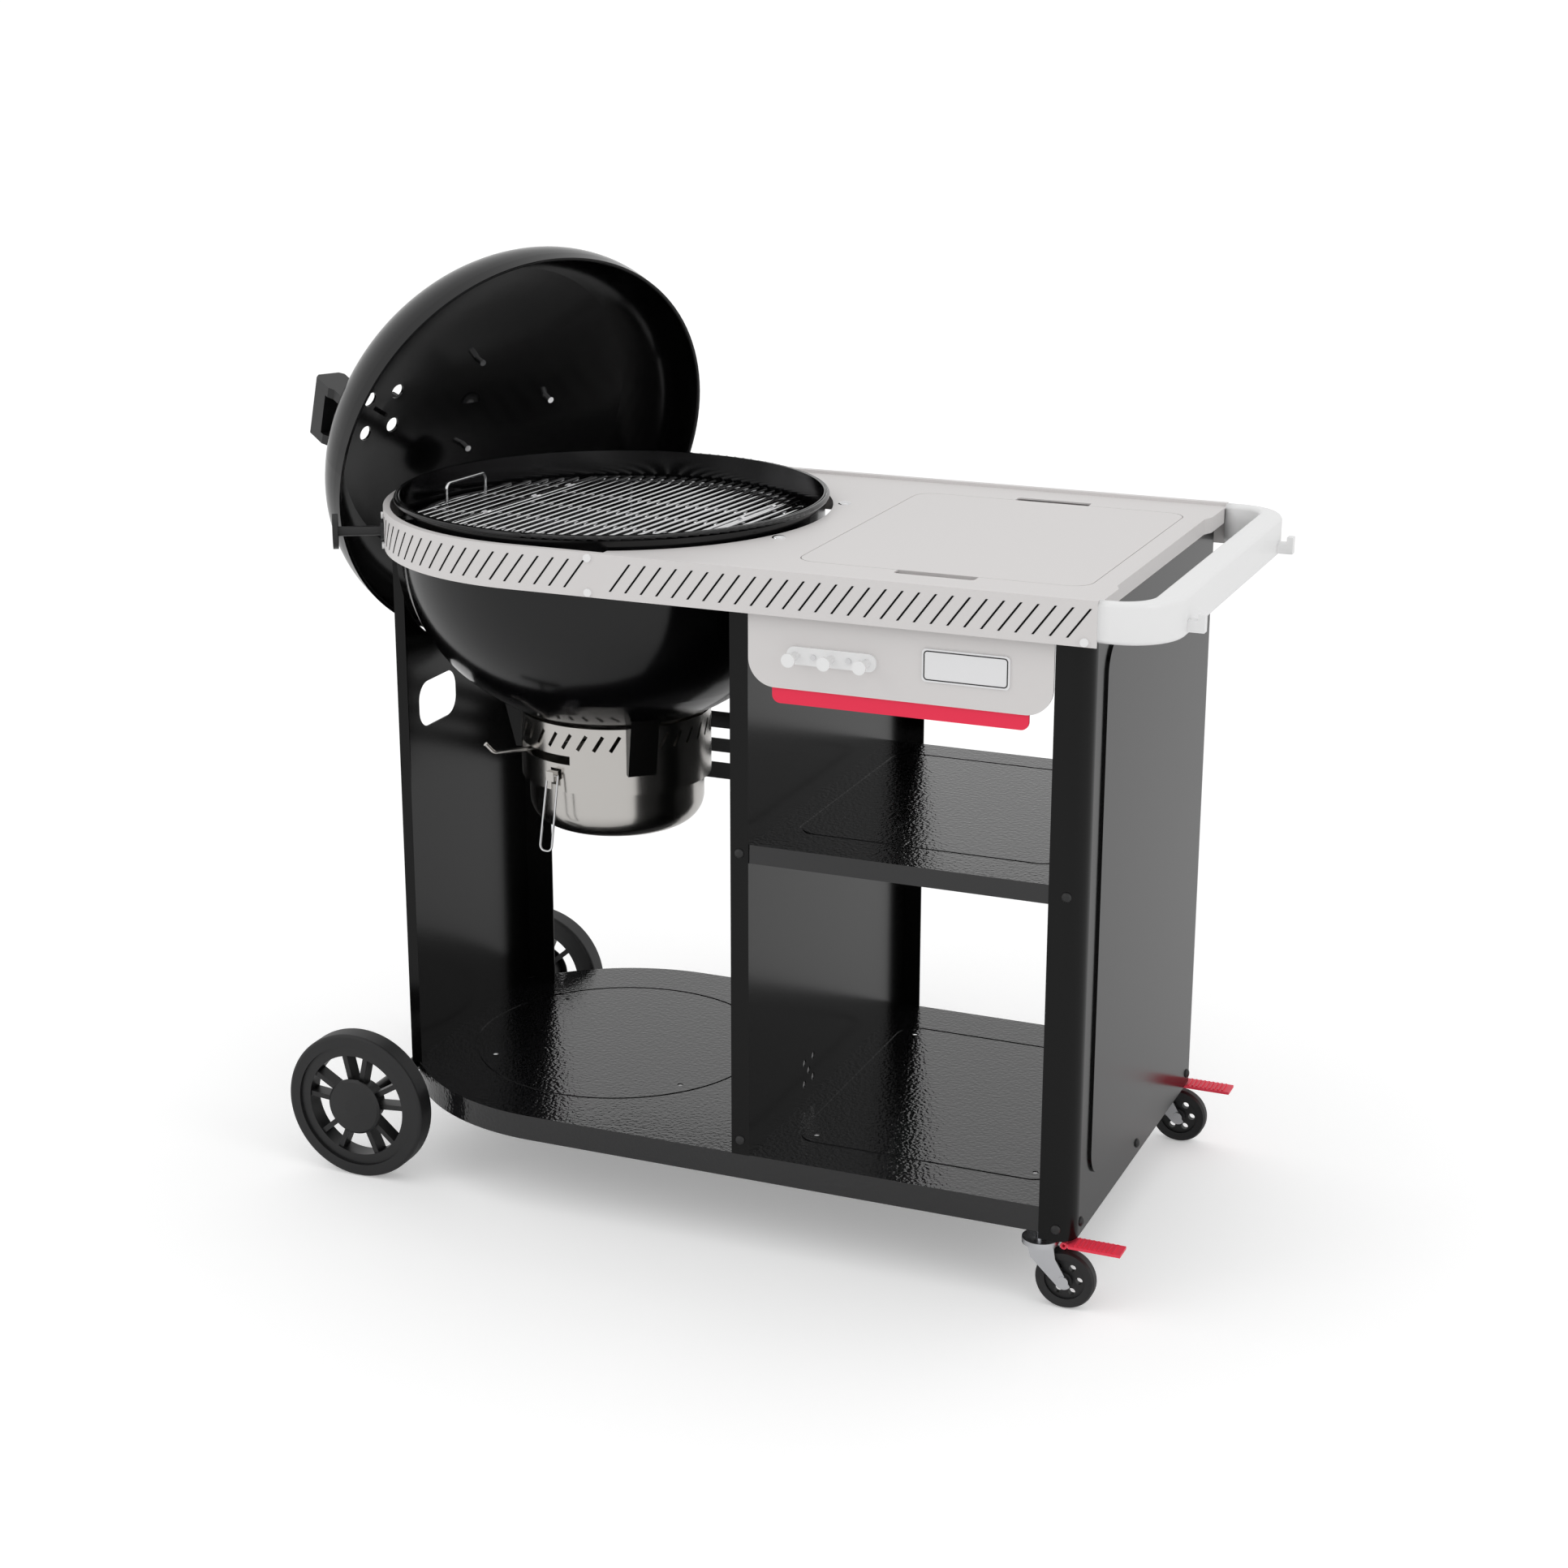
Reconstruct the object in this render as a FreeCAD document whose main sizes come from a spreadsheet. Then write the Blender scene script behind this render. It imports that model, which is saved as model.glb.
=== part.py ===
import FreeCAD, Part
import math
import os
import re

import Sketcher
from FreeCAD import Placement, Rotation, Vector

# Kettle charcoal grill on a two-shelf cart, with its lid parked on two pegs at the left.
# Lengths are in millimetres and angles in degrees.  Z is up from the ground, +X runs along
# the cart from the kettle to the handle, and +Y is the back.  Shapes are written about the
# kettle's axis (x = 0, y = 0); kettle_x and kettle_y then put every node in the row's frame,
# whose origin is on the ground in the middle of the object's footprint.

SIZES = {
    # place of the kettle's axis in the row frame
    "kettle_x": -197.2,
    "kettle_y": -42.5,
    # kettle bowl
    "kettle_radius": 286.0,
    "rim_height": 914.0,
    "wall": 1.6,
    "bead_radius": 3.5,
    "lip_reach": 6.0,
    "bowl_skirt": 66.0,
    "bowl_round": 250.0,
    "bowl_knuckle": 232.0,
    "bowl_vent_reach": 68.0,
    "bowl_vent_radius": 20.0,
    # lid, and the place of its rim while it is parked
    "lid_skirt": 16.0,
    "lid_round": 138.0,
    "lid_knuckle": 100.0,
    "lid_x": -192.8,
    "lid_y": 126.1,
    "lid_heading": 149.8,
    "lid_rise": 18.5,
    "vent_reach": 158.0,
    "vent_side": 14.7,
    "grip_span": 84.0,
    "vent_pitch": 37.0,
    "vent_radius": 10.5,
    "damper_radius": 52.0,
    "handle_span": 134.0,
    "thermometer_reach": 117.0,
    "peg_front_angle": 210.0,
    "peg_rear_angle": 150.0,
    "peg_radius": 6.5,
    "peg_length": 60.0,
    "peg_disc": 23.0,
    # cart
    "gauge": 2.0,
    "base_bottom": 100.0,
    "base_flange": 34.0,
    "cart_right": 743.5,
    "panel_bottom": 92.0,
    "corner_radius": 24.0,
    "post_width": 44.0,
    "divider_right": 315.0,
    "divider_flange": 24.0,
    "flat_end": 233.0,
    "left_front": 177.0,
    "left_rear": 172.0,
    "left_flange": 40.0,
    "hand_hole_front": 125.0,
    "shelf_top": 549.5,
    "shelf_flange": 24.0,
    "shelf_rear": 212.0,
    "brace_bottom": 440.0,
    "brace_height": 100.0,
    # work table and rails
    "table_step": 4.0,
    "skirt": 55.0,
    "edge_bead": 9.0,
    "seam_x": 120.0,
    "cutout_gap": 4.5,
    "insert_x": 533.5,
    "insert_length": 366.0,
    "insert_width": 444.0,
    "insert_corner": 26.0,
    "insert_gap": 1.0,
    "insert_thick": 5.0,
    "ledge_reach": 18.0,
    "grip_length": 101.0,
    # handle
    "handle_bar": 34.0,
    "handle_arm": 16.0,
    "handle_height": 50.0,
    "handle_corner": 70.0,
    # apron under the table's front edge
    "apron_corner": 34.0,
    "apron_thick": 3.0,
    "accent_left": 346.0,
    "accent_right": 669.0,
    "badge_length": 108.0,
    "badge_height": 40.0,
    "badge_x": 592.0,
    "hook_x": 424.0,
    "hook_pitch": 45.0,
    # large wheels
    "wheel_radius": 102.0,
    "wheel_x": -265.0,
    "tyre_width": 32.0,
    "tyre_depth": 17.0,
    "axle_radius": 6.0,
    "running_gap": 0.08,
    # casters
    "caster_trail": 33.0,
    "caster_radius": 38.0,
    "caster_width": 18.0,
    "caster_pin": 4.0,
    "stem_radius": 6.0,
    "fork_gap": 3.0,
    "fork_gauge": 2.5,
    "pedal_length": 72.0,
    "pedal_width": 28.0,
    # ash catcher
    "collar_radius": 128.0,
    "bail_angle": 257.0,
    "bail_length": 100.0,
    "shaft_radius": 5.0,
    "lever_angle": 229.0,
    "shield_angle": 190.0,
    # grates
    "grate_turn": -6.0,
    "rod_radius": 2.5,
    "ring_radius": 3.5,
    "rod_pitch": 15.0,
    "flap_reach": 157.0,
    "coal_radius": 213.0,
    "coal_pitch": 26.0,
}

# sizes that follow from the sheet, each in terms of its cells and of the ones above it
DERIVED = {
    "rail_radius": "kettle_radius + 14",
    "half_depth": "rail_radius - 16",
    "table_top": "rim_height - 13",
    "bowl_bottom": "rim_height - bowl_skirt - bowl_round",
    "lid_radius": "kettle_radius + 2",
    "lid_z": "rim_height + 14.5",
    "peg_height": "table_top - 33",
    "table_right": "cart_right + 8.5",
    "handle_out": "table_right + 86",
    "caster_x": "cart_right - 44.5",
    "caster_y": "half_depth - 16",
    "wheel_y": "half_depth - 20",
    "apron_bottom": "table_top - 147",
    "accent_bottom": "apron_bottom - 19.5",
    "badge_z": "apron_bottom + 48",
    "hook_z": "apron_bottom + 43",
    "collar_top": "bowl_bottom + 24",
    "collar_bottom": "collar_top - 90",
    "bail_pivot": "collar_bottom + 23",
    "bucket_top": "collar_bottom + 30",
    "bucket_bottom": "collar_bottom - 69",
    "bucket_radius": "collar_radius - 10",
    "lever_level": "collar_top - 46",
    "sweep_level": "bowl_bottom + 16",
    "grate_level": "rim_height - 36",
    "grate_radius": "kettle_radius - 16",
    "coal_level": "rim_height - 214",
}

doc = FreeCAD.newDocument("KettleGrill")
sheet = doc.addObject("Spreadsheet::Sheet", "Size")
for row, (alias, size) in enumerate(SIZES.items(), 1):
    sheet.set("A%d" % row, alias)
    sheet.set("B%d" % row, str(size))
    sheet.setAlias("B%d" % row, alias)
doc.recompute()

NODES = {}
Z_AXIS = Vector(0, 0, 1)
ALONG_X = Rotation(Vector(0, 1, 0), 90)
ALONG_Y = Rotation(Vector(1, 0, 0), -90)


# ---------------------------------------------------------------- expressions and features

def spelled_out(match):
    name = match.group()
    if name in DERIVED:
        return "(%s)" % bind(DERIVED[name])
    return "Size." + name if name in SIZES else name


def bind(text):
    """Write each size's name as its cell in the sheet, or as the sum that it follows from."""
    return re.sub(r"(?<![\w.])[a-z_]\w*", spelled_out, str(text))


def value(text):
    """Number that an expression of sizes stands for."""
    return float(sheet.evalExpression(bind(text)))


def tie(obj, prop, text):
    obj.setExpression(prop, bind(text))


def solid(kind, at=("0", "0", "0"), turn=None, **sizes):
    """Part primitive, turned about its own origin and then put at a point."""
    obj = doc.addObject("Part::" + kind, kind)
    if turn is not None:
        obj.Placement = Placement(Vector(), turn)
    for prop, text in sizes.items():
        tie(obj, prop, text)
    for axis, text in zip("xyz", at):
        tie(obj, "Placement.Base." + axis, text)
    return obj


def fuse(*shapes):
    obj = doc.addObject("Part::MultiFuse", "Fuse")
    obj.Shapes = list(shapes)
    obj.Refine = True
    return obj


def group(*shapes):
    obj = doc.addObject("Part::Compound", "Group")
    obj.Links = list(shapes)
    return obj


def cut(base, *tools):
    obj = doc.addObject("Part::Cut", "Cut")
    obj.Base = base
    obj.Tool = tools[0] if len(tools) == 1 else group(*tools)
    return obj


def common(first, second):
    obj = doc.addObject("Part::Common", "Common")
    obj.Base = first
    obj.Tool = second
    return obj


def mirror_y(source):
    """Copy on the other side of the cart's centre plane."""
    obj = doc.addObject("Part::Mirroring", "Mirror")
    obj.Source = source
    obj.Normal = Vector(0, 1, 0)
    return obj


def turned(source, angle, at=("0", "0", "0")):
    """Source turned about Z and moved, as a group of one."""
    obj = group(source)
    obj.Placement = Placement(Vector(), Rotation(Z_AXIS, value(angle)))
    tie(obj, "Placement.Rotation.Angle", "(%s) * 1 deg" % angle)
    for axis, text in zip("xyz", at):
        tie(obj, "Placement.Base." + axis, text)
    return obj


def node(label, obj, turn=None, at=("0", "0", "0")):
    """Name a finished sub-part and put it in the row's frame."""
    obj.Label = label
    if turn is not None:
        obj.Placement = Placement(Vector(), turn)
    for axis, text, origin in zip("xyz", at, ("kettle_x", "kettle_y", "0")):
        tie(obj, "Placement.Base." + axis, "%s + %s" % (text, origin))
    NODES[label] = obj
    return obj


def origin_part(body, role):
    return [part for part in body.Origin.OriginFeatures if part.Role == role][0]


def new_body():
    return doc.addObject("PartDesign::Body", "Body")


def arc_between(start, end, radius, turn):
    """Minor arc from start to end; turn is 1 for anticlockwise and -1 for clockwise."""
    half = (end - start) * 0.5
    rise = math.sqrt(max(radius ** 2 - half.Length ** 2, 0.0))
    side = Vector(-half.y, half.x, 0).normalize() * rise * turn
    centre = start + half + side
    circle = Part.Circle(centre, Z_AXIS, radius)
    first, last = (start, end) if turn > 0 else (end, start)
    angles = [math.atan2(p.y - centre.y, p.x - centre.x) for p in (first, last)]
    return Part.ArcOfCircle(circle, angles[0], angles[1])


def hold(sketch, kind, *where, text):
    """Add a measured constraint whose value follows an expression."""
    number = sketch.addConstraint(Sketcher.Constraint(kind, *where, value(text)))
    sketch.setExpression("Constraints[%d]" % number, bind(text))


def draw_circle(sketch, x, y, radius):
    circle = Part.Circle(Vector(value(x), value(y), 0), Z_AXIS, value(radius))
    edge = sketch.addGeometry(circle, False)
    hold(sketch, "DistanceX", -1, 1, edge, 3, text=x)
    hold(sketch, "DistanceY", -1, 1, edge, 3, text=y)
    hold(sketch, "Radius", edge, text=radius)


def draw_loop(sketch, points):
    """Closed outline.  A point is (x, y), or (x, y, radius, turn) where an arc starts."""
    ends = [Vector(value(point[0]), value(point[1]), 0) for point in points]
    following = ends[1:] + ends[:1]
    heads = []
    tails = []
    for point, start, end in zip(points, ends, following):
        if len(point) == 2:
            edge = sketch.addGeometry(Part.LineSegment(start, end), False)
            reverse = False
        else:
            edge = sketch.addGeometry(arc_between(start, end, value(point[2]), point[3]), False)
            reverse = point[3] < 0
            hold(sketch, "Radius", edge, text=point[2])
        heads.append((edge, 2 if reverse else 1))
        tails.append((edge, 1 if reverse else 2))
    for tail, head in zip(tails, heads[1:] + heads[:1]):
        sketch.addConstraint(Sketcher.Constraint("Coincident", *tail, *head))
    for head, point in zip(heads, points):
        hold(sketch, "DistanceX", -1, 1, *head, text=point[0])
        hold(sketch, "DistanceY", -1, 1, *head, text=point[1])


def sketch_on(body, role, loops, offset="0"):
    """Sketch on a plane of the body's origin.  A loop of three texts is a circle."""
    sketch = body.newObject("Sketcher::SketchObject", "Sketch")
    sketch.AttachmentSupport = [(origin_part(body, role), "")]
    sketch.MapMode = "FlatFace"
    tie(sketch, ".AttachmentOffset.Base.z", offset)
    for loop in loops:
        if isinstance(loop[0], str):
            draw_circle(sketch, *loop)
        else:
            draw_loop(sketch, loop)
    return sketch


def pad(body, role, loops, offset, length):
    feature = body.newObject("PartDesign::Pad", "Pad")
    feature.Profile = sketch_on(body, role, loops, offset)
    tie(feature, "Length", length)
    return feature


def pocket(body, role, loops, offset, length, upward=False):
    """Cut against the sketch plane's normal, or along it when upward."""
    feature = body.newObject("PartDesign::Pocket", "Pocket")
    feature.Profile = sketch_on(body, role, loops, offset)
    tie(feature, "Length", length)
    feature.Reversed = upward
    return feature


def revolve(body, loops):
    """Turn an outline in the XZ plane once round the Z axis."""
    feature = body.newObject("PartDesign::Revolution", "Revolution")
    sketch = sketch_on(body, "XZ_Plane", loops)
    feature.Profile = sketch
    feature.ReferenceAxis = (sketch, ["V_Axis"])
    feature.Angle = 360
    return feature


def turned_body(*loops):
    body = new_body()
    for loop in loops:
        revolve(body, [loop])
    return body


def rounded(x_low, x_high, y_low, y_high, radius):
    """Rectangle with four round corners, anticlockwise."""
    return [
        ("%s + %s" % (x_low, radius), y_low),
        ("%s - %s" % (x_high, radius), y_low, radius, 1),
        (x_high, "%s + %s" % (y_low, radius)),
        (x_high, "%s - %s" % (y_high, radius), radius, 1),
        ("%s - %s" % (x_high, radius), y_high),
        ("%s + %s" % (x_low, radius), y_high, radius, 1),
        (x_low, "%s - %s" % (y_high, radius)),
        (x_low, "%s + %s" % (y_low, radius), radius, 1),
    ]


def wire_rod(points, radius, bend, closed=False):
    """Round rod bent along straight runs with an arc of one radius at each corner."""
    points = [Vector(*point) for point in points]
    count = len(points)
    corners = range(count) if closed else range(1, count - 1)
    stops = []
    for i in corners:
        before = (points[i - 1] - points[i]).normalize()
        after = (points[(i + 1) % count] - points[i]).normalize()
        half = before.getAngle(after) / 2
        reach = bend / math.tan(half)
        middle = (before + after).normalize() * (bend / math.sin(half) - bend)
        stops.append((points[i] + before * reach, points[i] + middle, points[i] + after * reach))
    edges = []
    if closed:
        runs = [(stops[i][2], stops[(i + 1) % count][0]) for i in range(count)]
    else:
        starts = [points[0]] + [stop[2] for stop in stops]
        finishes = [stop[0] for stop in stops] + [points[-1]]
        runs = list(zip(starts, finishes))
    for i, (start, finish) in enumerate(runs):
        if (finish - start).Length > 1e-6:
            edges.append(Part.makeLine(start, finish))
        following = (i + 1) % count if closed else i
        if closed or following < len(stops):
            edges.append(Part.Arc(*stops[following]).toShape())
    path = Part.Wire(edges)
    first = runs[0]
    ring = Part.Wire(Part.makeCircle(radius, first[0], first[1] - first[0]))
    return path.makePipeShell([ring], True, False)


def shaped(shape):
    obj = doc.addObject("Part::Feature", "Shape")
    obj.Shape = shape
    return obj


def dome(radius, depth, knuckle, skirt, base, thick, up):
    """Outline of a pressed shell: straight skirt, knuckle arc and crown arc, up or down."""
    sign = "" if up else "-1 * "
    crown = "((%s)^2 + (%s)^2 - 2 * (%s) * (%s)) / (2 * (%s - %s))"
    crown = "(" + crown % (radius, depth, radius, knuckle, depth, knuckle) + ")"
    ratio = "(%s - %s)" % (crown, knuckle)
    outward = -1 if up else 1

    def junction(arc):
        x = "(%s - %s) * (%s - %s) / %s" % (radius, knuckle, crown, arc, ratio)
        z = "%s + %s(%s - %s) * (%s - %s) / %s" % (base, sign, crown, depth, knuckle, arc, ratio)
        return x, z

    outer = junction("0")
    inner = junction(thick)
    rim = "%s - %s(%s)" % (base, sign, skirt)
    return [
        ("0", "%s + %s(%s)" % (base, sign, depth), crown, outward),
        (outer[0], outer[1], knuckle, outward),
        (radius, base),
        (radius, rim),
        ("%s - %s" % (radius, thick), rim),
        ("%s - %s" % (radius, thick), base, "%s - %s" % (knuckle, thick), -outward),
        (inner[0], inner[1], "%s - %s" % (crown, thick), -outward),
        ("0", "%s + %s(%s - %s)" % (base, sign, depth, thick)),
    ]


def dome_solid(radius, depth, knuckle, skirt, base, thick, up):
    """Body filling the outer face of a shell, down to the axis."""
    outline = dome(radius, depth, knuckle, skirt, base, thick, up)[:4]
    return turned_body(outline + [("0", outline[3][1])])


def tube(outer, inner, low, height, at=("0", "0")):
    ring = cut(solid("Cylinder", Radius=outer, Height=height),
               solid("Cylinder", ("0", "0", "-1"), Radius=inner, Height="%s + 2" % height))
    holder = group(ring)
    for axis, text in zip("xyz", at + (low,)):
        tie(holder, "Placement.Base." + axis, text)
    return holder


def bolt_heads(places, radius, height):
    """Separate low button heads; a place is (x, y, z, turn)."""
    heads = []
    for x, y, z, turn in places:
        heads.append(solid("Cylinder", (x, y, z), turn, Radius=radius, Height=height))
    return heads


# ---------------------------------------------------------------- base shelf, panels, shelf

FACE = "(half_depth - gauge)"
TOP_BASE = "(base_bottom + base_flange)"


def base_outline(inset):
    reach = "(half_depth - gauge - %s)" % inset
    end = "(-flat_end + %s)" % inset
    side = "sqrt(%s^2 - %s^2)" % (reach, end)
    right = "(cart_right - gauge - %s)" % inset
    bend = "(corner_radius - gauge - %s)" % inset
    return [
        (end, "-" + side, reach, 1),
        ("0", "-" + reach),
        ("%s - %s" % (right, bend), "-" + reach, bend, 1),
        (right, "%s - %s" % (bend, reach)),
        (right, "%s - %s" % (reach, bend), bend, 1),
        ("%s - %s" % (right, bend), reach),
        ("0", reach, reach, 1),
        (end, side),
    ]


base = new_body()
pad(base, "XY_Plane", [base_outline("0")], "base_bottom", "base_flange")
pocket(base, "XY_Plane", [base_outline("gauge")], "base_bottom", "base_flange - gauge", True)
pocket(base, "XY_Plane", [("0", "0", "203.5"), ("0", "0", "199.5")], TOP_BASE, "1")
pocket(base, "XY_Plane", [rounded("345", "690", "-215", "205", "30"),
                          rounded("349", "686", "-211", "201", "26")], TOP_BASE, "1")
drains = [(str(x), str(y), "4") for x in (370, 665) for y in (-190, 180)]
drains += [(str(x), str(y), "4") for x in (-140, 140) for y in (-110, 110)]
pocket(base, "XY_Plane", drains, TOP_BASE, "gauge + 1")
node("base_shelf", base)

SHELF_BOTTOM = "(shelf_top - shelf_flange)"


def shelf_outline(inset):
    """Shelf in plan; its front right corner follows the fold of the side panel."""
    left = "(divider_right + %s)" % inset
    right = "(cart_right - gauge - %s)" % inset
    front = "(half_depth - gauge - %s)" % inset
    rear = "(shelf_rear - %s)" % inset
    bend = "(corner_radius - gauge - %s)" % inset
    return [
        (left, "-" + front),
        ("%s - %s" % (right, bend), "-" + front, bend, 1),
        (right, "%s - %s" % (bend, front)),
        (right, rear),
        (left, rear),
    ]


shelf = new_body()
pad(shelf, "XY_Plane", [shelf_outline("0")], SHELF_BOTTOM, "shelf_flange")
pocket(shelf, "XY_Plane", [shelf_outline("gauge")], SHELF_BOTTOM, "shelf_flange - gauge", True)
pocket(shelf, "XY_Plane", [rounded("345", "690", "-215", "165", "30"),
                           rounded("349", "686", "-211", "161", "26")], "shelf_top", "1")
node("middle_shelf", shelf)

PANEL_TOP = "(table_top - table_step - gauge)"
PANEL_HEIGHT = "(%s - panel_bottom)" % PANEL_TOP


def side_outline():
    """Right panel in plan: a wide face between two round-cornered posts with returns."""
    left = "(cart_right - post_width)"
    inner = "(cart_right - gauge)"
    fold = "(corner_radius - gauge)"
    return [
        (left, "-half_depth"),
        ("cart_right - corner_radius", "-half_depth", "corner_radius", 1),
        ("cart_right", "-half_depth + corner_radius"),
        ("cart_right", "half_depth - corner_radius", "corner_radius", 1),
        ("cart_right - corner_radius", "half_depth"),
        (left, "half_depth"),
        (left, FACE),
        ("cart_right - corner_radius", FACE, fold, -1),
        (inner, "half_depth - corner_radius"),
        (inner, "-half_depth + corner_radius", fold, -1),
        ("cart_right - corner_radius", "-" + FACE),
        (left, "-" + FACE),
    ]


right = new_body()
pad(right, "XY_Plane", [side_outline()], "panel_bottom", PANEL_HEIGHT)
pad(right, "YZ_Plane", [rounded("-225", "225", "150", "835", "40")], "cart_right", "3")
pocket(right, "YZ_Plane", [rounded("-221", "221", "154", "831", "36")], "cart_right - gauge", "3", True)
node("right_side_panel", right)

SILL = "%s" % TOP_BASE
WALL = "(divider_right - gauge)"
divider = new_body()
pad(divider, "XY_Plane", [[("divider_right - divider_flange", "-half_depth"),
                           ("divider_right", "-half_depth"),
                           ("divider_right", FACE),
                           ("divider_right + divider_flange", FACE),
                           ("divider_right + divider_flange", "half_depth"),
                           (WALL, "half_depth"),
                           (WALL, "-" + FACE),
                           ("divider_right - divider_flange", "-" + FACE)]],
    SILL, "%s - %s" % (PANEL_TOP, SILL))
pocket(divider, "YZ_Plane", [(str(y), str(z), "5") for y, z in
                             ((-82, 173), (-97, 188), (-67, 188), (-97, 158), (-67, 158))],
       "divider_right + 1", "gauge + 2")
node("divider_panel", divider)

# the left panel stands inside the base's flat end and is cut back clear of the bowl
bowl_room = dome_solid("(kettle_radius - lip_reach + 8)", "(bowl_round + 8)", "(bowl_knuckle + 8)",
                       "bowl_skirt", "(rim_height - bowl_skirt)", "wall", False)
left = new_body()
LEFT = "(-flat_end + gauge)"
pad(left, "XY_Plane", [[(LEFT + " - gauge", "-left_front"), (LEFT + " + 13", "-left_front"),
                        (LEFT + " + 13", "-left_front + gauge"), (LEFT, "-left_front + gauge"),
                        (LEFT, "left_rear - gauge"), (LEFT + " + left_flange", "left_rear - gauge"),
                        (LEFT + " + left_flange", "left_rear"), (LEFT + " - gauge", "left_rear")]],
    SILL, "table_top - gauge - %s" % SILL)
pocket(left, "YZ_Plane", [rounded("-hand_hole_front", "-hand_hole_front + 103",
                                "table_top - 308", "table_top - 246", "24")],
       LEFT + " + 1", "gauge + 2")
node("left_side_panel", cut(left, bowl_room))

brace = new_body()
ARC_END = "(-sqrt(half_depth^2 - left_rear^2))"
ARC_IN = "(-sqrt(%s^2 - left_rear^2))" % FACE
pad(brace, "XY_Plane", [[(WALL, FACE), (WALL, "half_depth"), ("0", "half_depth", "half_depth", 1),
                         (ARC_END, "left_rear"), (ARC_IN, "left_rear", FACE, -1), ("0", FACE)]],
    "brace_bottom", "brace_height")
for step in ("24", "60"):
    pocket(brace, "XZ_Plane", [rounded("-100", "290", "brace_bottom + " + step,
                                       "brace_bottom + %s + 16" % step, "7")],
           "-half_depth - 1", "gauge + 40", True)
node("rear_brace", brace)

# ---------------------------------------------------------------- table, rail and handle

DECK = "(table_top - table_step)"
SKIRT_LOW = "(table_top - skirt)"
SEAM = "table_right"
CUTOUT = "(kettle_radius + cutout_gap)"
HALF_L = "(insert_length / 2 + insert_gap)"
HALF_W = "(insert_width / 2 + insert_gap)"


def insert_outline(grow):
    return rounded("insert_x - %s - %s" % (HALF_L, grow), "insert_x + %s + %s" % (HALF_L, grow),
                   "-%s - %s" % (HALF_W, grow), "%s + %s" % (HALF_W, grow),
                   "(insert_corner + %s)" % grow)


def slab(x_low, x_high, half):
    return [(x_low, "-" + half), (x_high, "-" + half), (x_high, half), (x_low, half)]


table = new_body()
NOTCH = "(table_right - 6)"
deck_edge = [("seam_x", "-rail_radius"), (SEAM, "-rail_radius"), (SEAM, "-215"), (NOTCH, "-200"),
             (NOTCH, "200"), (SEAM, "215"), (SEAM, "rail_radius"), ("seam_x", "rail_radius")]
pad(table, "XY_Plane", [deck_edge], "%s - gauge" % DECK, "gauge + table_step")
pocket(table, "XY_Plane", [slab("seam_x - 1", "table_right + 1", "(rail_radius - edge_bead)")],
       "table_top", "table_step")
pocket(table, "XY_Plane", [("0", "0", CUTOUT)], "table_top", "gauge + table_step + 1")
for side in ("-rail_radius", "(rail_radius - gauge)"):
    pad(table, "XY_Plane", [[("seam_x", side), (SEAM, side), (SEAM, side + " + gauge"),
                             ("seam_x", side + " + gauge")]], SKIRT_LOW, "skirt - 1")
pad(table, "XY_Plane", [[(SEAM + " - gauge", "-280"), (SEAM, "-280"), (SEAM, "-215"),
                         (NOTCH, "-200"), (NOTCH, "200"), (SEAM, "215"), (SEAM, "280"),
                         (SEAM + " - gauge", "280"), (SEAM + " - gauge", "216"),
                         (NOTCH + " - gauge", "201"), (NOTCH + " - gauge", "-201"),
                         (SEAM + " - gauge", "-216")]], "%s - 20" % DECK, "20 - gauge")
pocket(table, "XY_Plane", [insert_outline("0")], "table_top", "gauge + table_step + 1")
pad(table, "XY_Plane", [insert_outline("gauge"), insert_outline("0")],
    "%s - insert_thick - gauge" % DECK, "insert_thick")
pad(table, "XY_Plane", [insert_outline("gauge"), insert_outline("-ledge_reach")],
    "%s - insert_thick - gauge" % DECK, "gauge")
for side in (-1, 1):
    low, high = sorted((side * 219, side * 240))
    pocket(table, "XY_Plane", [rounded("insert_x - grip_length / 2", "insert_x + grip_length / 2",
                                       str(low), str(high), "5")], "table_top", "skirt / 2")
node("work_table", table)

insert = new_body()
half = ("insert_length / 2", "insert_width / 2")
pad(insert, "XY_Plane", [rounded("insert_x - " + half[0], "insert_x + " + half[0],
                                 "-" + half[1], half[1], "insert_corner")],
    "%s - insert_thick" % DECK, "insert_thick")
edge_in = rounded("insert_x - insert_length / 2 + 12", "insert_x + insert_length / 2 - 12",
                  "-insert_width / 2 + 12", "insert_width / 2 - 12", "(insert_corner - 10)")
pocket(insert, "XY_Plane", [edge_in], "%s - insert_thick" % DECK, "insert_thick - gauge", True)
node("drop_in_panel", insert)


def rail_band(outer, inner):
    """Left-hand U in plan: straight at the sides, round the kettle's axis at the end."""
    return [
        ("seam_x", "-" + outer),
        ("seam_x", "-" + inner),
        ("0", "-" + inner, inner, -1),
        ("-" + inner, "0", inner, -1),
        ("0", inner),
        ("seam_x", inner),
        ("seam_x", outer),
        ("0", outer, outer, 1),
        ("-" + outer, "0", outer, 1),
        ("0", "-" + outer),
    ]


rail = new_body()
pad(rail, "XY_Plane", [rail_band("rail_radius", "(rail_radius - gauge)")], SKIRT_LOW, "skirt")
pad(rail, "XY_Plane", [rail_band("rail_radius", "(rail_radius - edge_bead)")],
    "table_top - gauge", "gauge")
node("curved_rail", rail)

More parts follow.
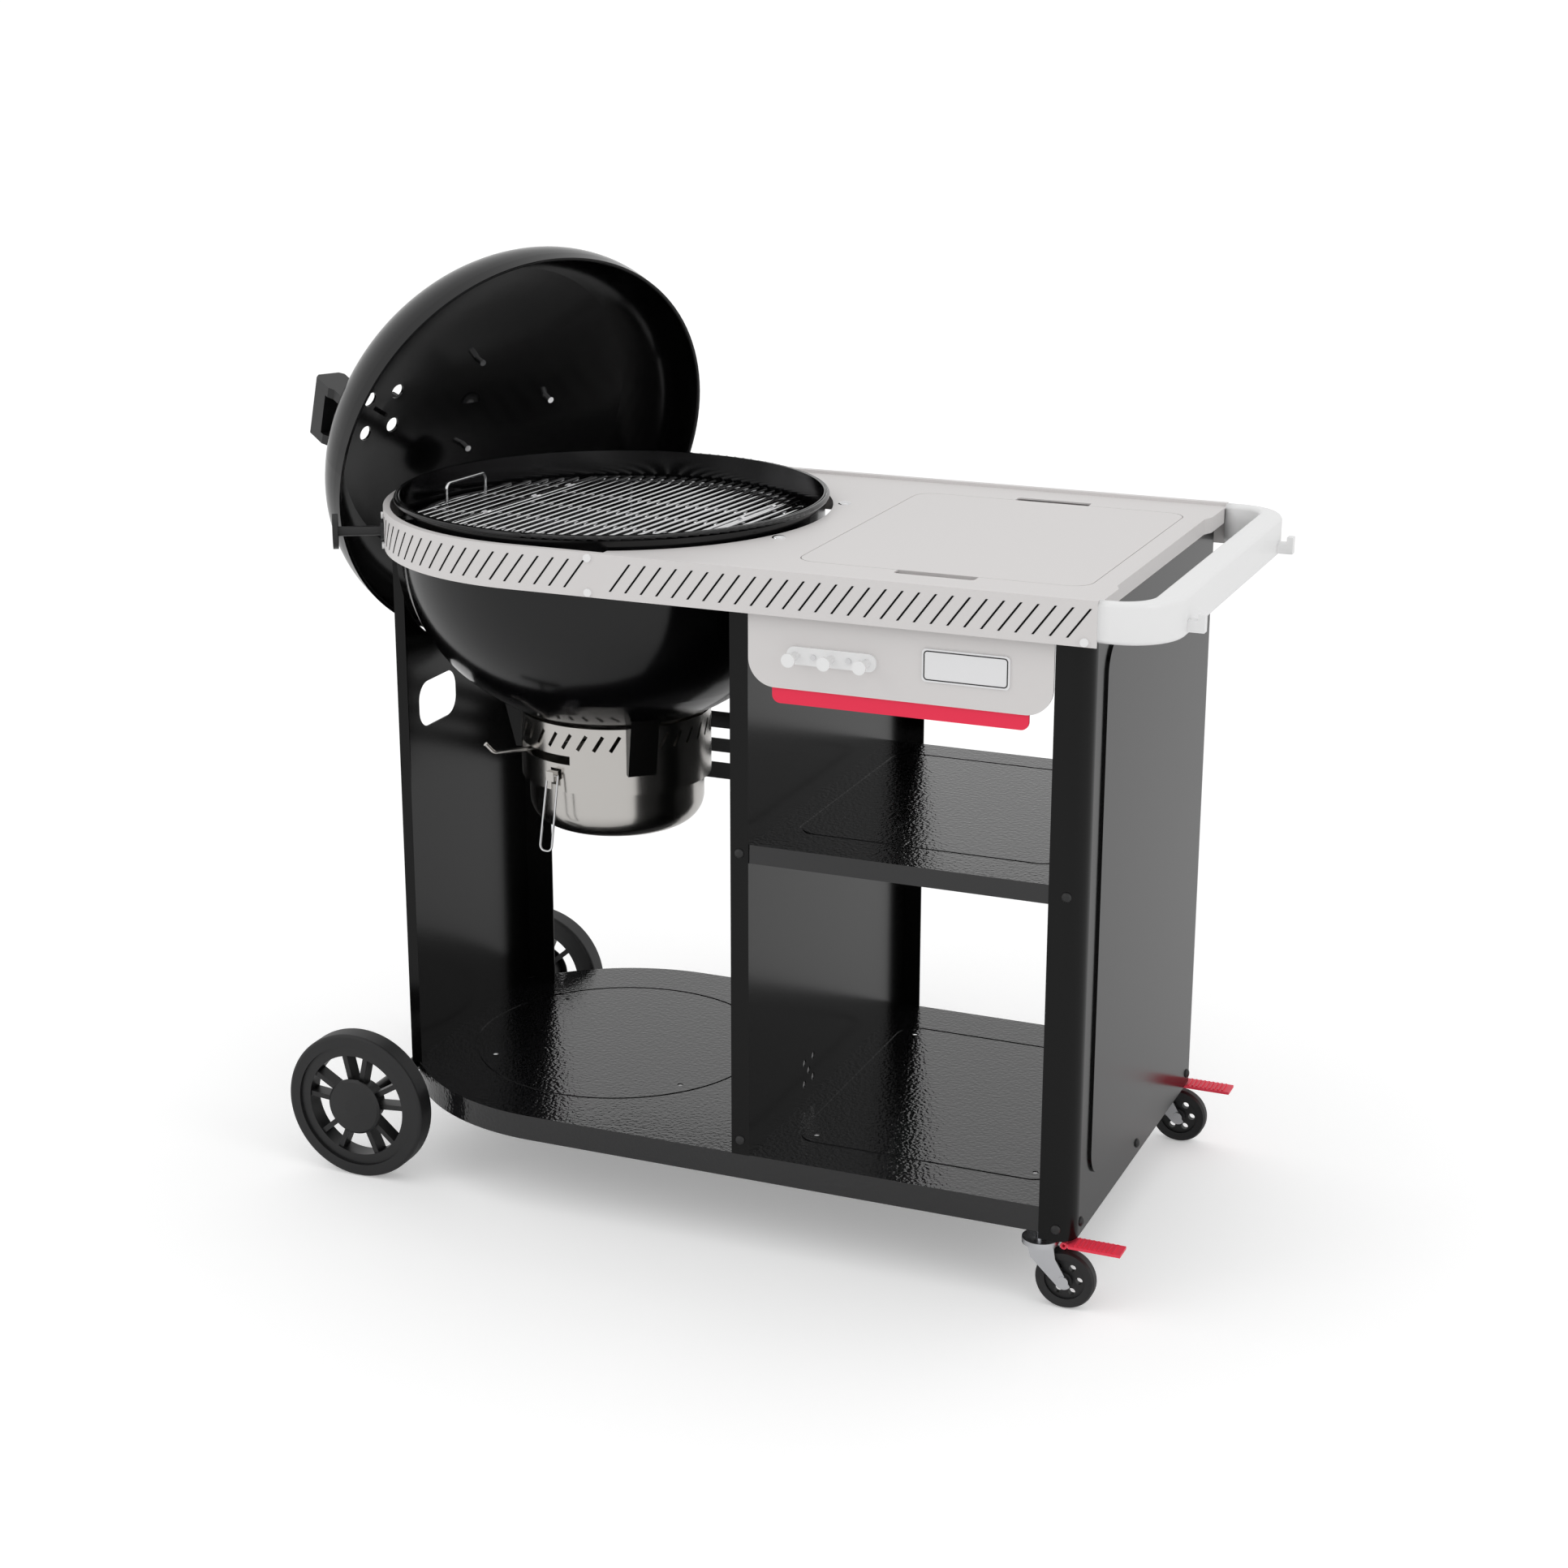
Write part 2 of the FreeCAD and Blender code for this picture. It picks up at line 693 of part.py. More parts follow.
GRIP = "(rail_radius - handle_arm)"
handle = new_body()
pad(handle, "XY_Plane", [[
    (SEAM, "-rail_radius"),
    ("handle_out - handle_corner", "-rail_radius", "handle_corner", 1),
    ("handle_out", "-rail_radius + handle_corner"),
    ("handle_out", "rail_radius - handle_corner", "handle_corner", 1),
    ("handle_out - handle_corner", "rail_radius"),
    (SEAM, "rail_radius"),
    (SEAM, GRIP),
    ("handle_out - handle_corner", GRIP, "(handle_corner - handle_bar)", -1),
    ("handle_out - handle_bar", "%s - handle_corner + handle_bar" % GRIP),
    ("handle_out - handle_bar", "-%s + handle_corner - handle_bar" % GRIP,
     "(handle_corner - handle_bar)", -1),
    ("handle_out - handle_corner", "-" + GRIP),
    (SEAM, "-" + GRIP),
]], "table_top - handle_height", "handle_height")
for side in ("-rail_radius + gauge + 0.2", "rail_radius - gauge - 12.2"):
    pad(handle, "XY_Plane", [rounded(SEAM + " - 24", SEAM + " + 10", side, side + " + 12", "3")],
        "table_top - handle_height + 6", "handle_height - 12")
node("handle_bar", handle)


def handle_hook(y):
    """Peg on the outer face of the handle near a corner, with an upturned end."""
    stem = solid("Box", ("handle_out", y, "table_top - 44"), Length="20", Width="12", Height="14")
    tip = solid("Box", ("handle_out + 12", y, "table_top - 44"), Length="8", Width="12", Height="22")
    return fuse(stem, tip)


node("handle_hooks", group(handle_hook("-rail_radius + handle_corner + 2"),
                           handle_hook("rail_radius - handle_corner - 14")))

# ---------------------------------------------------------------- apron and its fittings

APRON_LEFT = "(divider_right + 1)"
APRON_RIGHT = "(cart_right - post_width - 1)"
APRON_BACK = FACE
apron = new_body()
pad(apron, "XZ_Plane", [[
    (APRON_LEFT, "apron_bottom + apron_corner", "apron_corner", 1),
    (APRON_LEFT + " + apron_corner", "apron_bottom"),
    (APRON_RIGHT + " - apron_corner", "apron_bottom", "apron_corner", 1),
    (APRON_RIGHT, "apron_bottom + apron_corner"),
    (APRON_RIGHT, PANEL_TOP),
    (APRON_LEFT, PANEL_TOP),
]], APRON_BACK, "apron_thick")
node("control_apron", apron)

accent = new_body()
pad(accent, "XZ_Plane", [rounded("accent_left", "accent_right", "accent_bottom",
                                 "apron_bottom + 60", "10")],
    "%s - apron_thick" % APRON_BACK, "apron_thick")
node("accent_panel", accent)

APRON_FRONT = "(%s + apron_thick)" % FACE
badge = new_body()
pad(badge, "XZ_Plane", [rounded("badge_x - badge_length / 2", "badge_x + badge_length / 2",
                                "badge_z - badge_height / 2", "badge_z + badge_height / 2", "5")],
    APRON_FRONT, "2.5")
node("badge_plate", badge)

strip = new_body()
pad(strip, "XZ_Plane", [rounded("hook_x - hook_pitch - 12", "hook_x + hook_pitch + 12",
                                "hook_z - 11", "hook_z + 11", "10")], APRON_FRONT, "3")
node("hook_strip", strip)

stems = []
for step in ("- hook_pitch", "+ 0", "+ hook_pitch"):
    stem = solid("Cylinder", ("0", "0", "0"), Radius="5", Height="22")
    disc = solid("Cylinder", ("0", "0", "22"), Radius="8.5", Height="4")
    hold_peg = group(fuse(stem, disc))
    hold_peg.Placement = Placement(Vector(), Rotation(Vector(1, 0, 0), 90))
    tie(hold_peg, "Placement.Base.x", "hook_x " + step)
    tie(hold_peg, "Placement.Base.y", "-(%s) - 3" % APRON_FRONT)
    tie(hold_peg, "Placement.Base.z", "hook_z")
    stems.append(hold_peg)
node("tool_hooks", group(*stems))

# ---------------------------------------------------------------- bowl, supports and shields

WALL_R = "(kettle_radius - lip_reach)"
BOWL = (WALL_R, "bowl_round", "bowl_knuckle", "bowl_skirt", "(rim_height - bowl_skirt)", "wall")
bowl = turned_body(dome(*BOWL, False),
                   ("kettle_radius - bead_radius", "rim_height - bead_radius", "bead_radius"))
for index in range(3):
    turn = math.radians(90 + 120 * index)
    spot = ("bowl_vent_reach * %.6f" % math.cos(turn), "bowl_vent_reach * %.6f" % math.sin(turn))
    pocket(bowl, "XY_Plane", [spot + ("bowl_vent_radius",)], "bowl_bottom - 10",
           "60", True)
pocket(bowl, "XY_Plane", [("0", "0", "shaft_radius + running_gap")],
       "bowl_bottom - 10", "60", True)
node("kettle_bowl", bowl)
bowl_fill = dome_solid(*BOWL, False)
INSIDE = ("(%s - wall)" % WALL_R, "(bowl_round - wall)", "(bowl_knuckle - wall)") + BOWL[3:]
bowl_inside = dome_solid(*INSIDE, False)


def radial_plate(outline, width, angle):
    """Plate standing in the plane through the axis at an angle; outline is (radius, z)."""
    body = new_body()
    pad(body, "XZ_Plane", [outline], "-(%s) / 2" % width, width)
    return turned(body, angle)


lugs = []
for angle in ("-45", "45", "135", "225"):
    deck_low = PANEL_TOP if abs(float(angle)) < 90 else "(table_top - gauge)"
    lugs.append(cut(radial_plate([("250", deck_low + " - 8"), ("rail_radius - gauge - 3", deck_low + " - 8"),
                                  ("rail_radius - gauge - 3", deck_low), ("250", deck_low)],
                                 "26", angle), bowl_fill))
node("bowl_lugs", group(*lugs))

supports = []
GRATE_SEAT = "(grate_level - rod_radius - 2 * ring_radius)"
COAL_SEAT = "(coal_level - rod_radius - 2 * ring_radius)"
for angle in ("60", "110", "240", "290"):
    plate = radial_plate([("coal_radius - 10", COAL_SEAT + " - 12"), ("320", COAL_SEAT + " - 12"),
                          ("320", GRATE_SEAT), ("grate_radius - 12", GRATE_SEAT),
                          ("coal_radius + 3", COAL_SEAT + " + 50"), ("coal_radius + 3", COAL_SEAT),
                          ("coal_radius - 10", COAL_SEAT)], "3", angle)
    supports.append(common(plate, bowl_inside))
node("grate_supports", group(*supports))

shields = []
for angle in ("shield_angle", "shield_angle + 120", "shield_angle + 240"):
    plate = radial_plate([("collar_radius", "collar_bottom + 28"),
                          ("collar_radius + 8", "collar_bottom + 28"),
                          ("collar_radius + 30", "collar_top + 30"), ("collar_radius", "collar_top + 30")],
                         "38", angle)
    drum = solid("Cylinder", Radius="collar_radius", Height="rim_height")
    shields.append(cut(plate, bowl_fill, drum))
node("ash_shields", group(*shields))

SHELL = "1.2"
collar = tube("collar_radius", "collar_radius - " + SHELL, "collar_bottom",
              "collar_top - collar_bottom")
cuts = []
for index in range(36):
    slot = solid("Box", ("-2.5", "-15", "-12"), Length="5", Width="30", Height="24")
    leaning = group(slot)
    leaning.Placement = Placement(Vector(0, 0, 0), Rotation(Vector(0, 1, 0), 32))
    standing = group(leaning)
    standing.Placement = Placement(Vector(), Rotation(Z_AXIS, 10 * index + 5))
    tie(standing, "Placement.Base.x", "collar_radius * %.6f" % math.sin(math.radians(10 * index + 5)))
    tie(standing, "Placement.Base.y", "-collar_radius * %.6f" % math.cos(math.radians(10 * index + 5)))
    tie(standing, "Placement.Base.z", "collar_top - 20")
    cuts.append(standing)
sweep = solid("Cylinder", ("0", "0", "lever_level - 6"), Radius="collar_radius + 20", Height="12")
sweep.Angle = 76
lever_slot = turned(sweep, "lever_angle - 38")
clip_slot = turned(solid("Box", ("0", "-9", "collar_bottom - 1"), Length="collar_radius + 20",
                         Width="18", Height="bail_pivot - collar_bottom + 9"), "bail_angle")
node("ash_collar", cut(collar, group(*cuts), lever_slot, clip_slot))

# ---------------------------------------------------------------- sweeper, bucket and bail

shaft = solid("Cylinder", ("0", "0", "lever_level - 8"), Radius="shaft_radius",
              Height="sweep_level - lever_level + 16")
hub = solid("Cylinder", ("0", "0", "sweep_level"), Radius="15", Height="8")
blades = [shaft, hub]
for index in range(3):
    blade = solid("Box", ("10", "-14", "sweep_level + 2"), Length="82", Width="28", Height="3")
    blades.append(turned(blade, "%d" % (30 + 120 * index)))
lever = wire_rod([(4, 0, value("lever_level")), (value("collar_radius") + 48, 0, value("lever_level")),
                  (value("collar_radius") + 60, 0, value("lever_level") + 14)], 3.0, 12)
blades.append(turned(shaped(lever), "lever_angle"))
node("ash_sweeper", fuse(*blades))

bucket = new_body()
B_OUT, B_IN = "bucket_radius", "(bucket_radius - 1.2)"
revolve(bucket, [[("0", "bucket_bottom"), (B_OUT + " - 36", "bucket_bottom", "36", 1),
                  (B_OUT, "bucket_bottom + 36"), (B_OUT, "bucket_top"), (B_IN, "bucket_top"),
                  (B_IN, "bucket_bottom + 36", "34.8", -1),
                  (B_OUT + " - 36", "bucket_bottom + 1.2"), ("0", "bucket_bottom + 1.2")]])
node("ash_bucket", bucket)

clip = solid("Box", ("bucket_radius - 0.6", "-6", "bail_pivot - 7"),
             Length="collar_radius - bucket_radius + 14",
             Width="12", Height="13")
clip_bore = solid("Cylinder", ("collar_radius + 7", "-10", "bail_pivot"), ALONG_Y,
                  Radius="1.5 + running_gap", Height="20")
clip_trim = solid("Cylinder", Radius="bucket_radius", Height="rim_height")
node("bail_clip", turned(cut(clip, clip_bore, clip_trim), "bail_angle"))
bail_x = value("collar_radius") + 7
pivot = value("bail_pivot")
drop = value("bail_length")
bail = wire_rod([(bail_x, -9, pivot), (bail_x + 18, -10, pivot - drop), (bail_x + 18, 10, pivot - drop),
                 (bail_x, 9, pivot)], 1.5, 8)
pin = solid("Cylinder", ("collar_radius + 7", "-9", "bail_pivot"), ALONG_Y, Radius="1.5", Height="18")
node("bucket_bail", turned(fuse(shaped(bail), pin), "bail_angle"))

# ---------------------------------------------------------------- grates


def chord(reach, radius):
    return "sqrt((%s)^2 - (%s)^2)" % (radius, reach)


def rod_y(x, half, z):
    return solid("Cylinder", (x, "-" + half, z), ALONG_Y, Radius="rod_radius", Height="2 * " + half)


def rod_x(x, y, z, length):
    return solid("Cylinder", (x, y, z), ALONG_X, Radius="rod_radius", Height=length)


def ring_arc(radius, z, start, sweep_angle):
    ring = solid("Torus", ("0", "0", z), Radius1=radius, Radius2="ring_radius")
    ring.Angle3 = sweep_angle
    return turned(ring, str(start))


def disc_grate(pitch, radius, level, count):
    rods = []
    for index in range(-count, count + 1):
        x = "%d * %s" % (index, pitch)
        rods.append(rod_y(x, chord(x, radius), level))
    return rods


PIN = "(flap_reach + 3)"
RING_Z = "(grate_level - rod_radius - ring_radius)"
TIE_Z = "(grate_level - 2 * rod_radius)"
RING_R = "(grate_radius - ring_radius)"
opening = math.degrees(math.acos(value(PIN + " / " + RING_R))) - 1.5
main = disc_grate("rod_pitch", "grate_radius", "grate_level", 10)
main += [rod_y(side + PIN, "(%s - 5)" % chord(PIN, "grate_radius"), "grate_level") for side in ("", "-")]
for y in (-120, -40, 40, 120):
    main.append(rod_x("-" + PIN, str(y), TIE_Z, "2 * " + PIN))
main.append(ring_arc(RING_R, RING_Z, opening, 180 - 2 * opening))
main.append(ring_arc(RING_R, RING_Z, 180 + opening, 180 - 2 * opening))
node("cooking_grate", turned(group(*main), "grate_turn"))


def grate_flap(turn):
    """Hinged side of the grate, drawn on +X: rods, tie rods with eyes, and a rim arc."""
    pieces = []
    for index in range(1, 7):
        x = "(flap_reach + 8 + %d * (rod_pitch + 0.2))" % (index - 0.5)
        pieces.append(rod_y(x, "(%s - 4)" % chord(x, "grate_radius"), "grate_level"))
    for y in (-146, -60, 60, 146):
        end = "(%s - %s - 8)" % (chord(str(abs(y)), "(%s - ring_radius - 1)" % RING_R), PIN)
        pieces.append(rod_x(PIN + " + 6", str(y), TIE_Z, end))
        eye = cut(solid("Cylinder", (PIN, str(y - 4), "grate_level"), ALONG_Y, Radius="5.6", Height="8"),
                  solid("Cylinder", (PIN, str(y - 5), "grate_level"), ALONG_Y,
                        Radius="rod_radius + running_gap", Height="10"))
        pieces[-1] = fuse(pieces[-1], rod_x(PIN + " + 3.6", str(y), TIE_Z, "6"), eye)
    pieces.append(ring_arc(RING_R, RING_Z, -opening + 3, 2 * opening - 6))
    if turn:
        x = value("flap_reach + 8 + 4.5 * (rod_pitch + 0.2)")
        z = value("grate_level")
        pieces.append(shaped(wire_rod([(x, -46, z + 2.5), (x, -46, z + 30),
                                       (x, 46, z + 30), (x, 46, z + 2.5)],
                                      2.5, 9)))
    return turned(group(*pieces), "grate_turn + %d" % turn)


node("grate_flap_left", grate_flap(180))
node("grate_flap_right", grate_flap(0))

coal = disc_grate("coal_pitch", "coal_radius", "coal_level", 7)
coal += [rod_x("-" + chord(str(y), "(coal_radius - 9)"), str(y), "coal_level - 2 * rod_radius",
               "2 * " + chord(str(y), "(coal_radius - 9)")) for y in (-110, 110)]
coal.append(ring_arc("(coal_radius - ring_radius)", "coal_level - rod_radius - ring_radius", 0, 360))
node("charcoal_grate", group(*coal))

# ---------------------------------------------------------------- lid, drawn about its own axis

LID_TURN = Rotation(Z_AXIS, value("lid_heading") + 90).multiply(
    Rotation(Vector(1, 0, 0), 90 - value("lid_rise")))
LID = ("lid_radius", "lid_round", "lid_knuckle", "lid_skirt", "lid_skirt", "wall")
lid_fill = dome_solid(*LID, True)
LID_TOP = "(lid_skirt + lid_round)"


def lid_node(label, *pieces):
    """Place a part drawn with the rim at z = 0 and the crown up."""
    shape = pieces[0] if len(pieces) == 1 else group(*pieces)
    node(label, shape, LID_TURN, ("lid_x", "lid_y", "lid_z"))


LID_CROWN = ("((lid_radius^2 + lid_round^2 - 2 * lid_radius * lid_knuckle)"
             " / (2 * (lid_round - lid_knuckle)))")
CROWN_Z = "(lid_skirt + lid_round - %s)" % LID_CROWN
VENT_RISE = "sqrt(%s^2 - vent_reach^2 - vent_side^2)" % LID_CROWN
VENT_TURN = Rotation(Z_AXIS, Vector(value("vent_reach"), value("vent_side"), value(VENT_RISE)))


def crown_ball(gap):
    return solid("Sphere", ("0", "0", CROWN_Z), Radius="%s + %s" % (LID_CROWN, gap))


def on_vent(*pieces):
    """Place pieces drawn from the crown's centre with the vent's axis along Z."""
    holder = group(*pieces)
    holder.Placement = Placement(Vector(), VENT_TURN)
    tie(holder, "Placement.Base.z", CROWN_Z)
    return holder


def vent_rod(radius, start, height, across="0", along="0"):
    return on_vent(solid("Cylinder", (across, along, start), Radius=radius, Height=height))


VENT_STEP = "vent_pitch * 0.7"
vent_holes = [vent_rod("vent_radius", LID_CROWN + " - 40", "80", "%d * %s" % (x_step, VENT_STEP),
                       "%d * %s" % (y_step, VENT_STEP))
              for x_step, y_step in ((-1, -1), (-1, 1), (1, -1), (1, 1))]
pin_hole = vent_rod("3 + running_gap", LID_CROWN + " - 40", "80")
lid = turned_body(dome(*LID, True), ("lid_radius - 2.5", "2.5", "2.5"))
lid_node("lid_shell", cut(lid, pin_hole, *vent_holes))

damper_disc = common(cut(crown_ball("1.7"), crown_ball("0.3")),
                     vent_rod("damper_radius", LID_CROWN + " - 40", "80"))
damper_pin = vent_rod("3", LID_CROWN + " - 12", "18")
tab = on_vent(solid("Box", ("-46", "-9", LID_CROWN + " - 8"), Length="6", Width="18", Height="30"))
damper_tab = cut(tab, crown_ball("0.9"))
lid_node("lid_damper", fuse(cut(damper_disc, *vent_holes), damper_pin, damper_tab))


def lid_handle(x, y, span, rise, along):
    """Arched grip on two feet that are cut to the lid's crown."""
    half = span / 2.0
    ends = [(-half, 0, 40), (-half, 0, rise), (half, 0, rise), (half, 0, 40)]
    bar = shaped(wire_rod(ends, 9.0, 20))
    feet = [solid("Cylinder", ("%g" % end, "0", "0"), Radius="14", Height="%g" % (rise - 30))
            for end in (-half, half)]
    arch = turned(fuse(bar, *feet), str(along), (str(x), str(y), "0"))
    return cut(arch, lid_fill)


lid_node("lid_handle", lid_handle(3.7, 4.9, value("handle_span"), value(LID_TOP) + 62, 90))


def side_grip():
    """D-shaped grip, wider than its two necks, cut to the lid's crown."""
    grip = new_body()
    pad(grip, "XZ_Plane", [[("213", "95"), ("235", "95"), ("235", "130"), ("240", "138"), ("240", "171.5"),
                            ("234", "177.5"), ("203", "177.5"), ("197", "171.5"), ("197", "140"),
                            ("213", "128")]],
        "-grip_span / 2", "grip_span")
    fingers = solid("Box", ("190", "14 - grip_span / 2", "80"), Length="60", Width="grip_span - 28",
                    Height="64")
    return cut(turned(cut(grip, fingers), "0", ("0", "vent_side", "0")), lid_fill)


lid_node("lid_side_grip", side_grip())
bolts = []
for x, y in (("2.4", "71.9"), ("5", "-62"), ("-thermometer_reach", "4.7")):
    nut = solid("Cylinder", (x, y, "%s - wall - 16 - (%s^2 + %s^2) / (2 * %s)" % (LID_TOP, x, y, LID_CROWN)),
                Radius="4.5", Height="16")
    bolts.append(common(nut, dome_solid("(lid_radius - wall)", "(lid_round - wall)", "(lid_knuckle - wall)",
                                        "lid_skirt", "lid_skirt", "wall", True)))
lid_node("lid_bolts", *bolts)
gauge_body = cut(solid("Cylinder", ("-thermometer_reach", "4.7", LID_TOP + " - 30"), Radius="30",
                       Height="36"),
                 lid_fill)
lid_node("lid_thermometer", gauge_body)

# ---------------------------------------------------------------- lid peg and cradle


def lid_peg(angle, length):
    stem = solid("Cylinder", ("rail_radius - 1", "0", "peg_height"), ALONG_X, Radius="peg_radius",
                 Height=length)
    disc = solid("Cylinder", ("rail_radius - 1 + " + length, "0", "peg_height"), ALONG_X,
                 Radius="peg_disc", Height="7")
    foot = solid("Cylinder", ("rail_radius - 1", "0", "peg_height"), ALONG_X, Radius="13", Height="5")
    drum = solid("Cylinder", Radius="rail_radius", Height="1000")
    return turned(cut(fuse(stem, disc, foot), drum), angle)


node("lid_pegs", group(lid_peg("peg_front_angle", "peg_length"), lid_peg("peg_rear_angle", "40")))

low = LID_TURN.multVec(Vector(0, -value("lid_radius"), 0))
cradle_low = "lid_z - lid_radius * cos(lid_rise * 1 deg) - 0.6"
trough = group(cut(solid("Box", ("-30", "-20", "-6"), Length="60", Width="40", Height="18"),
                   solid("Box", ("-31", "-14", "0"), Length="62", Width="28", Height="30"),
                   solid("Box", ("-31", "-21", "2.5"), Length="62", Width="20", Height="30")))
trough.Placement = Placement(Vector(), Rotation(Z_AXIS, value("lid_heading") + 90))
tie(trough, "Placement.Base.x", "lid_x + %.6f * lid_radius - 4" % (low.x / value("lid_radius")))
tie(trough, "Placement.Base.y", "lid_y + %.6f * lid_radius + 3" % (low.y / value("lid_radius")))
tie(trough, "Placement.Base.z", cradle_low)
arm = solid("Box", ("-flat_end - 44", "132", cradle_low + " - 14"), Length="40", Width="30",
            Height="10")
foot = solid("Box", ("-flat_end - 4", "112", cradle_low + " - 44"), Length="4", Width="54",
             Height="44")
node("lid_cradle", fuse(trough, arm, foot))

# ---------------------------------------------------------------- large wheels and axle

HALF_TYRE = "tyre_width / 2"
TREAD_IN = "(wheel_radius - tyre_depth)"
tyre_body = turned_body([(TREAD_IN, "-" + HALF_TYRE), ("wheel_radius - 5", "-" + HALF_TYRE, "5", 1),
                         ("wheel_radius", "-%s + 5" % HALF_TYRE),
                         ("wheel_radius", "%s - 5" % HALF_TYRE, "5", 1),
                         ("wheel_radius - 5", HALF_TYRE), (TREAD_IN, HALF_TYRE)])


def wheel_hub():
    """Rim, five double spokes and a bored boss, with the axle along Z."""
    body = turned_body([(TREAD_IN + " - 14", "-12"), (TREAD_IN, "-12"), (TREAD_IN, "12"),
                        (TREAD_IN + " - 14", "12")],
                       [("axle_radius + running_gap", "-14"), ("30", "-14"), ("30", "14"),
                        ("axle_radius + running_gap", "14")])
    return body


def spokes(radius_in, radius_out, width, height, count, spread_angle):
    arms = []
    for index in range(count):
        for lean in (-spread_angle, spread_angle):
            box = solid("Box", (radius_in, "-%s / 2" % width, "-%s / 2" % height), Width=width,
                        Length="%s - %s" % (radius_out, radius_in), Height=height)
            arms.append(turned(box, "%g" % (90 + 360.0 / count * index + lean)))
    return arms


hub_core = fuse(wheel_hub(), *spokes("26", TREAD_IN + " - 4", "7", "20", 5, 13))
cap_body = turned_body([("0", "14"), ("39", "14"), ("39", "16"), ("36", "19"), ("12", "21"), ("0", "21")])
for side, sign, turn in (("front", "-", Rotation(Vector(1, 0, 0), 90)), ("rear", "", ALONG_Y)):
    spot = ("wheel_x", sign + "wheel_y", "wheel_radius")
    node("wheel_tyre_" + side, group(tyre_body), turn, spot)
    node("wheel_hub_" + side, group(hub_core), turn, spot)
    node("wheel_cap_" + side, group(cap_body), turn, spot)

AXLE_HALF = "(wheel_y + 13)"
node("wheel_axle", solid("Cylinder", Radius="axle_radius", Height="2 * " + AXLE_HALF), ALONG_Y,
     ("wheel_x", "-" + AXLE_HALF, "wheel_radius"))
TUBE_HALF = "(wheel_y - 15)"
sleeve = cut(solid("Cylinder", Radius="9", Height="2 * " + TUBE_HALF),
             solid("Cylinder", ("0", "0", "-1"), Radius="axle_radius", Height="2 * %s + 2" % TUBE_HALF))
node("axle_sleeve", group(sleeve), ALONG_Y, ("wheel_x", "-" + TUBE_HALF, "wheel_radius"))

struts = new_body()
pad(struts, "XZ_Plane", [[("wheel_x - 14", "wheel_radius - 14"), ("wheel_x + 14", "wheel_radius - 14"),
                          ("-flat_end + 60", "base_bottom - 4"), ("-flat_end + 60", "base_bottom"),
                          ("-flat_end", "base_bottom"), ("-flat_end", TOP_BASE),
                          ("wheel_x - 4", "wheel_radius + 14")]], "100", "5")
strut_bore = solid("Cylinder", ("wheel_x", "-300", "wheel_radius"), ALONG_Y, Radius="9", Height="600")
strut_front = cut(struts, strut_bore)
node("axle_struts", group(strut_front, mirror_y(strut_front)))

# ---------------------------------------------------------------- casters

SWIVEL = "(caster_radius * 2 + fork_gap)"
wheel_half = "caster_width / 2"
caster_rim = turned_body([("caster_pin + running_gap", "-" + wheel_half), ("10", "-" + wheel_half),
                          ("10", "-4"),
                          ("26", "-4"), ("26", "-7"), ("caster_radius - 2", "-" + wheel_half),
                          ("caster_radius", "-5"), ("caster_radius", "5"), ("caster_radius - 2", wheel_half),
                          ("26", "7"), ("26", "4"), ("10", "4"), ("10", wheel_half),
                          ("caster_pin + running_gap", wheel_half)])
caster_holes = [turned(solid("Cylinder", ("18", "0", "-10"), Radius="4.6", Height="20"), "%d" % (60 * i))
                for i in range(6)]
caster_wheel = cut(caster_rim, *caster_holes)
FORK_IN = "(caster_width / 2 + 1)"


def caster_fork():
    """Cheeks, crown and axle pin; the swivel axis is X = 0 and the wheel trails along +X."""
    cheek = new_body()
    pad(cheek, "XZ_Plane", [[("-14", SWIVEL), ("-10", "caster_radius + 26"),
                             ("caster_trail - 9", "caster_radius - 6", "11", 1),
                             ("caster_trail + 9", "caster_radius - 6"),
                             ("22", "caster_radius + 28"), ("20", SWIVEL)]], FORK_IN, "fork_gauge")
    crown = solid("Box", ("-14", "-(%s + fork_gauge)" % FORK_IN, SWIVEL), Length="34",
                  Width="2 * (%s + fork_gauge)" % FORK_IN, Height="2")
    dome_top = solid("Cylinder", ("0", "0", SWIVEL + " + 2"), Radius="24", Height="7")
    pin_body = solid("Cylinder", ("caster_trail", "-(%s + fork_gauge + 2)" % FORK_IN, "caster_radius"),
                     ALONG_Y, Radius="caster_pin", Height="2 * (%s + fork_gauge + 2)" % FORK_IN)
    caps = [solid("Cylinder", ("caster_trail", y, "caster_radius"), ALONG_Y, Radius="7", Height="2")
            for y in ("-(%s + fork_gauge + 2)" % FORK_IN, "%s + fork_gauge" % FORK_IN)]
    bored = cut(fuse(cheek, mirror_y(cheek), crown, dome_top, pin_body, *caps),
                solid("Cylinder", ("0", "0", SWIVEL + " - 1"), Radius="stem_radius + running_gap",
                      Height="30"))
    return bored


def caster_stem(y):
    stem = solid("Cylinder", ("caster_x", y, SWIVEL + " - 1"), Radius="stem_radius",
                 Height="base_bottom + base_flange - gauge - %s + 1" % SWIVEL)
    head = solid("Cylinder", ("caster_x", y, SWIVEL + " - 5"), Radius="stem_radius + 3", Height="4.7")
    return fuse(stem, head)


def caster_socket(y):
    block = solid("Box", ("caster_x - 20", y + " - 12", "base_bottom"), Length="40", Width="24",
                  Height="base_flange - gauge")
    return cut(block, solid("Cylinder", ("caster_x", y, "0"), Radius="stem_radius", Height="400"))


node("caster_stems", group(caster_stem("-caster_y"), caster_stem("caster_y")))
node("caster_sockets", group(caster_socket("-caster_y"), caster_socket("caster_y")))

